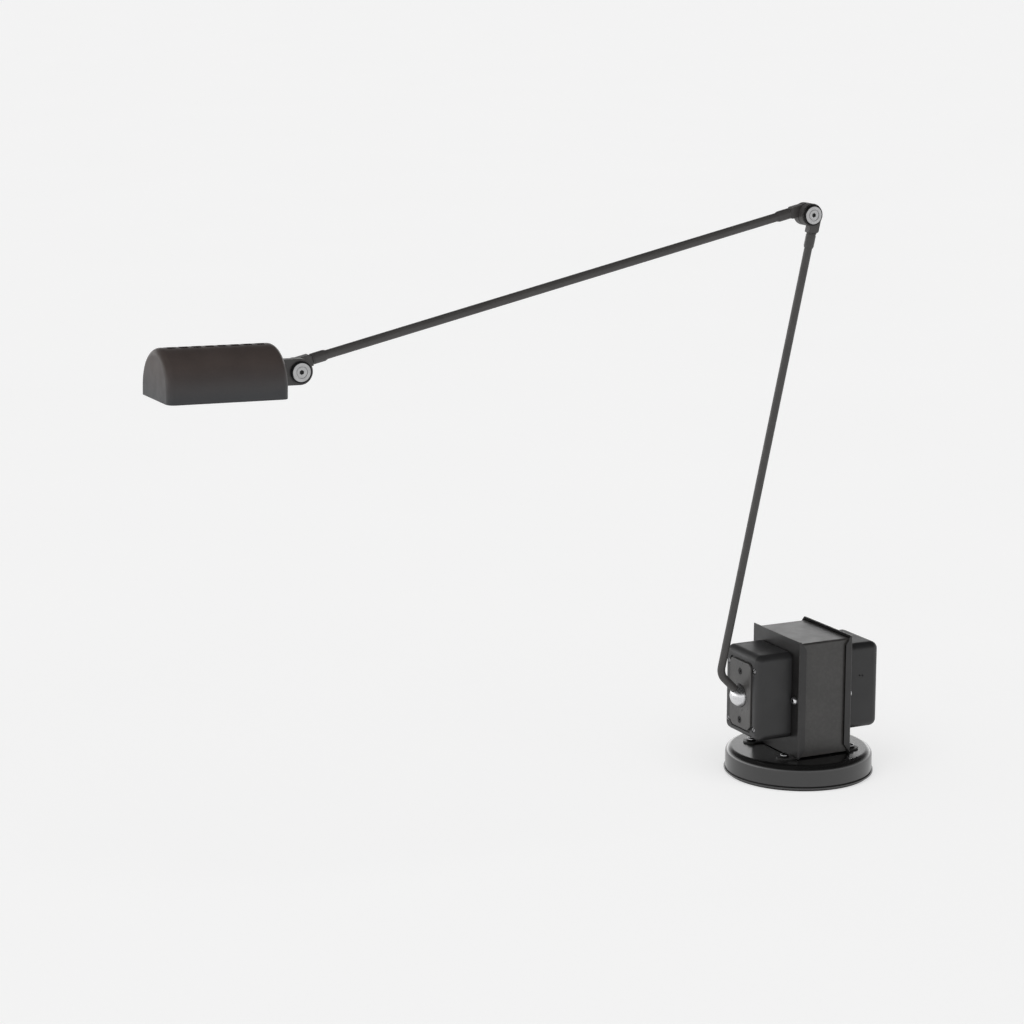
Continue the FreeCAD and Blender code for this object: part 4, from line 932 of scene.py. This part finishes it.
LEAN = 12.4
LOWER_OFFSET, UPPER_OFFSET = 4.1, 3.8
LOWER_R, UPPER_R = 2.95, 3.2
HUB_R, HUB_T = 8.3, 6.4
HUB_BORE = 2.56
NECK, NECK_W, NECK_CUT = 13.0, 8.2, 1.8
TUBE_GAP, TUBE_WALL = 0.03, 0.9
TUBE_START = NECK - 6.0
FAR_Y = 7.0
FALL = math.degrees(math.atan2(ELBOW.z - HEAD.z, ELBOW.x - HEAD.x))
BEND_R = 10.0
BALL_R, BALL_MOUTH, BALL_FLOOR = 8.5, 3.3, 4.3
AXLE_R = 2.4
STACK_BORE, DISC_FACE = 2.53, 5.3
CUP_R, CUP_DEPTH = 7.6, 1.6
RUN = 24


def about_y(point, y, turn):
    """Place of a joint piece: turned about Y, then put at a pivot."""
    return shift(point.x, y, point.z) @ spin(turn, "Y")


LOWER_AT = about_y(ELBOW, 0, LEAN)
UPPER_AT = about_y(ELBOW, FAR_Y, 90 - FALL)
UPPER_HEAD_AT = about_y(HEAD, FAR_Y, -90 - FALL)


def hub_shape(tube_r, offset):
    """Cast disc with a side neck; a bore for the screw and a socket for the tube."""
    left, right = offset - NECK_W / 2, min(offset + NECK_W / 2, HUB_R - 0.01)
    start = math.degrees(math.atan2(-math.sqrt(HUB_R ** 2 - left ** 2), left)) % 360
    end = math.degrees(math.atan2(-math.sqrt(HUB_R ** 2 - right ** 2), right))
    steps = 44
    outline = [(left, -NECK, 0.5)]
    for step in range(steps + 1):
        angle = math.radians(start + (end - start) * step / steps)
        outline.append((HUB_R * math.cos(angle), HUB_R * math.sin(angle), 0.6 if step == 0 else 0))
    outline += [(right, NECK_CUT - NECK, 0.4), (right - NECK_CUT, -NECK, 0.4)]
    body = moved(plate(rounded(outline, 0, 4, True), -HUB_T / 2, HUB_T / 2, 0.55, 4), ALONG_Y)
    bore = moved(cylinder(HUB_BORE, -9, 9, 48), ALONG_Y)
    socket = moved(cylinder(tube_r + TUBE_GAP, -9, 6, 40), shift(offset, 0, -NECK))
    shape = carved(body, [bore, socket])
    # Rim faces at the front of the disc, beside the cup, take the near-black painted shade.
    for face in shape.faces:
        centre = face.calc_center_median()
        if centre.y < 0.9 - HUB_T / 2 and abs(face.normal.y) < 0.98 and centre.z > -0.75 * HUB_R:
            face.material_index = 1
    return shape


def ferrule_shape(tube_r, offset):
    outer, bore = tube_r + 0.75, tube_r + TUBE_GAP
    profile = [
        (bore, -11), (tube_r + 0.3, -11, 0.1), (outer, -9.4, 0.5), (outer, -1.3, 0.1),
        (outer - 0.25, -1.1, 0.1), (outer - 0.25, -0.7, 0.1), (outer, -0.5, 0.1), (outer, 0, 0.2), (bore, 0),
    ]
    return moved(lathe(profile, 0.1, 48, True), shift(offset, 0, -NECK))


def make_hubs():
    """Three hubs, then their ferrules; the upper arm's elbow end is the mirrored form."""
    for shape_of, part, names in (
            (hub_shape, "hub", ("lower_hub_casting", "upper_elbow_casting", "upper_head_casting")),
            (ferrule_shape, "ferrule", ("lower_ferrule_sleeve", "upper_elbow_sleeve", "upper_head_sleeve"))):
        lower = moved(shape_of(LOWER_R, LOWER_OFFSET), LOWER_AT)
        elbow = moved(moved(shape_of(UPPER_R, UPPER_OFFSET), MIRROR_X), UPPER_AT)
        head = moved(shape_of(UPPER_R, UPPER_OFFSET), UPPER_HEAD_AT)
        ends = ((lower, "lower_arm", "lower_arm_"), (elbow, "upper_arm", "upper_elbow_"),
                (head, "upper_arm", "upper_head_"))
        for name, (shape, body, node) in zip(names, ends):
            piece(name, shape, body, "arm_paint", node + part, None, ROW, "hub_rim_shade")


def lower_path(from_ball, from_elbow):
    """Centre line of the lower tube: slanted foot, one bend, long straight run."""
    lean = math.radians(LEAN)
    along = Vector((math.sin(lean), 0, math.cos(lean)))
    top = ELBOW + Vector((math.cos(lean), 0, -math.sin(lean))) * LOWER_OFFSET
    foot = Vector((1, 0, -1)).normalized()
    corner = top - along * ((top.x + top.z - BALL.x - BALL.z) / (along.x + along.z))
    half = foot.angle(along) / 2
    reach = BEND_R / math.tan(half)
    centre = corner + (foot + along).normalized() * (BEND_R / math.sin(half))
    first, last = corner + foot * reach - centre, corner + along * reach - centre
    sweep = first.angle(last)
    axis = first.cross(last).normalized()
    start, end = BALL - foot * from_ball, top - along * from_elbow
    points = [start, start + (centre + first - start) * 0.5]
    steps = 14
    for step in range(steps + 1):
        points.append(centre + Matrix.Rotation(sweep * step / steps, 3, axis) @ first)
    begin = centre + last
    points += [begin + (end - begin) * t / RUN for t in range(1, RUN + 1)]
    return points


def make_tubes():
    tube = pipe(lower_path(4.5, TUBE_START), LOWER_R, TUBE_WALL)
    piece("lower_tube", tube, "lower_arm", "arm_paint", "lower_arm_tube")
    fall = math.radians(FALL)
    along = Vector((-math.cos(fall), 0, -math.sin(fall)))
    across = Vector((-math.sin(fall), 0, math.cos(fall)))
    side = across * UPPER_OFFSET + Vector((0, FAR_Y, 0))
    start, end = ELBOW + side + along * TUBE_START, HEAD + side - along * TUBE_START
    points = [start + (end - start) * t / RUN for t in range(RUN + 1)]
    piece("upper_tube", pipe(points, UPPER_R, TUBE_WALL), "upper_arm", "arm_paint", "upper_arm_tube")
    make_ball()


def make_ball():
    """Ball with a socket for the tube, cut flat where its axle starts."""
    begin = math.asin(BALL_MOUTH / BALL_R)
    turns = [begin + (math.pi - begin) * t / 40 for t in range(41)]
    arcs = [(BALL_R * math.sin(a), BALL_R * math.cos(a)) for a in turns]
    bore = LOWER_R + TUBE_GAP
    levels = [(0, BALL_FLOOR), (bore, BALL_FLOOR), (bore, BALL_R * math.cos(begin) - 0.3)]
    ball = moved(turned(levels + arcs[:-1] + [(0, -BALL_R)], 72), shift(*BALL) @ spin(-45, "Y"))
    flat = low("socket_plate").x - 0.05
    whole = ball.verts[:] + ball.edges[:] + ball.faces[:]
    bmesh.ops.bisect_plane(ball, geom=whole, plane_co=(flat, 0, 0), plane_no=(1, 0, 0), clear_outer=True)
    rim = [edge for edge in ball.edges if edge.is_boundary]
    bmesh.ops.edgeloop_fill(ball, edges=rim)
    length = high("pivot_ball").x - flat + 0.5
    axle = lathe([(0, 0), (AXLE_R, 0), (AXLE_R, length), (0, length)], 0.3, 40)
    axle = moved(axle, shift(flat - 0.5, BALL.y, BALL.z) @ ALONG_X)
    piece("pivot_ball_bright", merge([ball, axle]), "lower_arm", "bright_steel", "pivot_ball")


def make_joint(prefix, point, turn, body, disc):
    """Screw, cup, washer and nut of one arm joint; local Z of each lathe faces the front."""
    place = about_y(point, 0, turn) @ ALONG_Y
    near, face, back = HUB_T / 2, DISC_FACE, -(FAR_Y + HUB_T / 2 + 0.05)
    screw = [
        (0, -(FAR_Y + near + 1.6), 0), (2.5, -(FAR_Y + near + 1.6), 0.3), (2.5, near + 0.4, 0),
        (6.6, near + 0.4, 0.15), (6.6, face - 0.15, 0.3), (6.3, face, 0.2), (4.25, face, 0.08),
        (4.1, face - 0.5, 0.05), (3.65, face - 0.5, 0.05), (3.55, face - 0.05, 0.08),
        (1.9, face - 0.05, 0.05),
    ]
    socket = hexagon(3.0)
    rings = rounded(screw, 0.2, 3) + [(socket, face - 0.12), (socket, face - 1.2), (0, face - 1.4)]
    # The hex socket in the screw's face takes the painted shade.
    shape = paint_socket_shade(turned(rings, 96), 1.8, face - 0.1)
    piece(prefix + "_screw_turned", moved(shape, place), body, "bright_steel", prefix + "_screw", disc)
    mouth = near + CUP_DEPTH
    cup = [
        (STACK_BORE, near), (CUP_R - 0.2, near, 0.3), (CUP_R, near + 0.4, 0.2), (CUP_R, mouth, 0.25),
        (CUP_R - 0.8, mouth, 0.25), (CUP_R - 0.85, near + 0.4, 0.1), (STACK_BORE, near + 0.4),
    ]
    shape = lathe(cup, 0.1, 96, True)
    piece(prefix + "_cup_ring", moved(shape, place), body, "black_steel", prefix + "_cup")
    top, bottom = -near - 0.02, -near - 0.52
    washer = [(STACK_BORE, top), (7.4, top), (7.4, bottom), (STACK_BORE, bottom)]
    shape = lathe(washer, 0.1, 72, True)
    piece(prefix + "_washer_ring", moved(shape, place), body, "nylon", prefix + "_washer")
    nut = [
        (0, back - 1.6, 0), (2.5, back - 1.6, 0.02), (2.5, back, 0.02), (6.2, back, 0.2),
        (6.4, back - 0.6, 0.2), (6.4, back - 1.7, 0.5), (5.7, back - 2.4, 0.5), (0, back - 2.4, 0),
    ]
    shape = turned(rounded(nut, 0.2, 3), 72)
    piece(prefix + "_nut_crown", moved(shape, place), body, "bright_steel", prefix + "_nut", disc)


# ---- lamp head

TILT = 1.46
HEAD_AT = about_y(HEAD, 0, TILT)
SHADE_END, SHADE_LEN, SHADE_R = -17.3, 86.1, 27.4
SHADE_TOP, SHADE_LOW = 20.3, -14.05
SHADE_EDGE, SHADE_WALL = 5.5, 1.0
NOSE = SHADE_END - SHADE_LEN
VENT_PITCH, VENT_X, VENT_Y = 9.04, 3.15, 3.5
DISC_R = 9.0
BRACKET_END = -30.0
REFLECTOR_R, REFLECTOR_LOW, REFLECTOR_WALL = 24.4, -11.6, 0.6
BULB_Z, BULB_R, BULB_WALL = 2.0, 5.5, 0.9
BULB_BASE, BULB_TIP = -41.0, -72.0
COIL_R, WIRE_R, TURNS, PER_TURN = 0.75, 0.14, 11, 16


def arch_ring(inset, bottom):
    """Tunnel section in Y and Z, inset from the outside, from its foot up and over."""
    radius = SHADE_R - inset
    centre = SHADE_TOP - SHADE_R
    points = [(-radius, bottom + (centre - bottom) * t / 4) for t in range(4)]
    turns = [math.pi * t / 48 for t in range(49)]
    points += [(-radius * math.cos(a), centre + radius * math.sin(a)) for a in turns]
    points += [(radius, bottom + (centre - bottom) * t / 4) for t in range(3, -1, -1)]
    return points


def tunnel(start, end, inset, corner, bottom):
    """Closed tunnel along X whose end arches are rounded over."""
    bm = bmesh.new()
    sections = []
    for step in range(11):
        turn = math.pi / 2 * step / 10
        sections.append((start + corner * (1 - math.cos(turn)), inset + corner * (1 - math.sin(turn))))
    length = end - start
    middle = [(start + corner + (length - 2 * corner) * t / 12, inset) for t in range(1, 12)]
    far = [(end - (x - start), d) for x, d in reversed(sections)]
    loops = []
    for x, depth in sections + middle + far:
        loops.append([bm.verts.new((x, y, z)) for y, z in arch_ring(depth, bottom)])
    return closed_skin(bm, loops)


def make_shade():
    wall = SHADE_WALL
    shell = tunnel(NOSE, SHADE_END, 0.0, SHADE_EDGE, SHADE_LOW)
    tools = [tunnel(NOSE + wall, SHADE_END - wall, wall, SHADE_EDGE - wall, SHADE_LOW - 5)]
    for step in range(8):
        x = NOSE + SHADE_LEN / 2 + (step - 3.5) * VENT_PITCH
        left, right = x - VENT_X, x + VENT_X
        outline = [(left, -VENT_Y), (right, -VENT_Y), (right, VENT_Y), (left, VENT_Y)]
        tools.append(plate(rounded(outline, 1.2, 4, True), SHADE_TOP - 5, SHADE_TOP + 5, 0))
    slot_y = HUB_T / 2 + 0.1
    tools.append(block((SHADE_END - 2, -slot_y, -9.1), (SHADE_END + 2, slot_y, 9.1), 0))
    piece("shade_shell", moved(carved(shell, tools, soften=0.22), HEAD_AT), "head", "shade_paint", "shade")


def make_head_inside():
    outline = [(BRACKET_END, DISC_R, 0.3)]
    for angle in range(0, 181, 6):
        turn = math.radians(angle)
        outline.append((DISC_R * math.sin(turn), DISC_R * math.cos(turn), 0))
    outline.append((BRACKET_END, -DISC_R, 0.3))
    arm = moved(plate(rounded(outline, 0, 3, True), -HUB_T / 2, HUB_T / 2, 0.5, 4), ALONG_Y)
    foot = block((BRACKET_END, -11, -DISC_R), (BRACKET_END + 3, 11, DISC_R), 0.4)
    bore = moved(cylinder(STACK_BORE, -9, 9, 48), ALONG_Y)
    piece("bracket_arm", moved(carved(arm, [bore], [foot]), HEAD_AT), "head", "arm_paint", "shade_bracket")
    piece("reflector_liner", moved(liner_shape(), HEAD_AT), "head", "reflector_alu", "reflector")
    holder = block((-39.0, -7.3, -4.5), (-30.2, 7.3, 8.5), 1.1, 4)
    groove = block((-37.2, -9, -6), (-36.4, 9, 10), 0)
    core = block((-38, -6.7, -3.9), (-35, 6.7, 7.9), 0)
    holder = carved(holder, [carved(groove, [core])], soften=0.2)
    piece("holder_block", moved(holder, HEAD_AT), "head", "ceramic", "lamp_holder")


def liner_shape():
    """Reflector: a thin finely rippled tunnel inside the shade, open at its foot and ends."""
    start = NOSE + 5.0
    length = BRACKET_END - 0.1 - start
    inset = SHADE_R - REFLECTOR_R
    outer, inner = arch_ring(inset, REFLECTOR_LOW), arch_ring(inset + REFLECTOR_WALL, REFLECTOR_LOW)
    liner = bmesh.new()
    loops = []
    stations = 40
    for station in range(stations + 1):
        x = start + length * station / stations
        ripple = 0.12 * math.sin(station * math.pi / 2)
        loop = [liner.verts.new((x, y, z)) for y, z in outer]
        loop += [liner.verts.new((x, y * (1 - ripple / 24), z)) for y, z in reversed(inner)]
        loops.append(loop)
    skin(liner, loops)
    for loop in (loops[0], loops[-1]):
        for k in range(len(loop) // 2 - 1):
            liner.faces.new((loop[k], loop[k + 1], loop[-2 - k], loop[-1 - k]))
    return outward(liner)


def dome(reach, first):
    """Round tip of the bulb's section, from an angle on."""
    turns = [math.radians(angle) for angle in range(first, 86, 6)]
    return [(reach * math.cos(a), BULB_R - reach * math.sin(a)) for a in turns]


def make_bulb():
    length = BULB_BASE - 5 - BULB_TIP
    shoulder = [(BULB_R - 1.6, length), (BULB_R, length, 1.4), (BULB_R, BULB_R + 0.5)]
    levels = [(0, length), (BULB_R - 1.6, length)] + rounded(shoulder, 1.4, 5)[1:]
    levels += dome(BULB_R, 0) + [(1.1, 0.25), (0.8, -0.55), (0, -0.9)]
    hollow = BULB_R - BULB_WALL
    inside = [(0, length - 2.2), (hollow, length - 2.2), (hollow, BULB_R)]
    inside += dome(hollow, 6) + [(0, BULB_WALL)]
    envelope = carved(turned(levels, 48), [turned(inside, 48)])
    envelope = moved(envelope, shift(BULB_TIP, 0, BULB_Z) @ ALONG_X)
    pinch = block((BULB_BASE - 6, -5.0, BULB_Z - 1.6), (BULB_BASE, 5.0, BULB_Z + 1.6), 0.7, 4)
    capsule = carved(envelope, [], [pinch])
    piece("bulb_capsule", moved(capsule, HEAD_AT), "head", "bulb_quartz", "bulb_glass")
    piece("filament_coil", moved(coil_shape(), HEAD_AT), "head", "tungsten", "bulb_filament")


def coil_shape():
    points = []
    for step in range(TURNS * PER_TURN + 1):
        angle = 2 * math.pi * step / PER_TURN
        x = BULB_TIP + 10 + 8.0 * step / (TURNS * PER_TURN)
        points.append(Vector((x, COIL_R * math.cos(angle), BULB_Z + COIL_R * math.sin(angle))))
    coil = bmesh.new()
    loops = []
    sides = [k * math.pi / 3 for k in range(6)]
    for index, point in enumerate(points):
        ahead = (points[min(index + 1, len(points) - 1)] - points[max(index - 1, 0)]).normalized()
        out = Vector((0, point.y, point.z - BULB_Z)).normalized()
        side = ahead.cross(out)
        spots = [point + (out * math.cos(a) + side * math.sin(a)) * WIRE_R for a in sides]
        loops.append([coil.verts.new(spot) for spot in spots])
    return closed_skin(coil, loops)


# ---- the rest stays as modelled


def finish_cad_nodes():
    slots = {entry["node"]: entry["material_slot"] for entry in frame["record"]["subparts"]}
    for name, made in frame["nodes"].items():
        if made.hide_render:
            continue
        made.data.materials.clear()
        made.data.materials.append(SURFACES[slots[name]])


make_camera()
make_studio()
make_floor()
make_base()
make_transformer()
make_caps()
make_arm_plate()
make_switch()
make_hubs()
make_tubes()
make_joint("elbow", ELBOW, LEAN, "lower_arm", "elbow_disc")
make_joint("head", HEAD, TILT, "head", "head_disc")
make_shade()
make_head_inside()
make_bulb()
finish_cad_nodes()
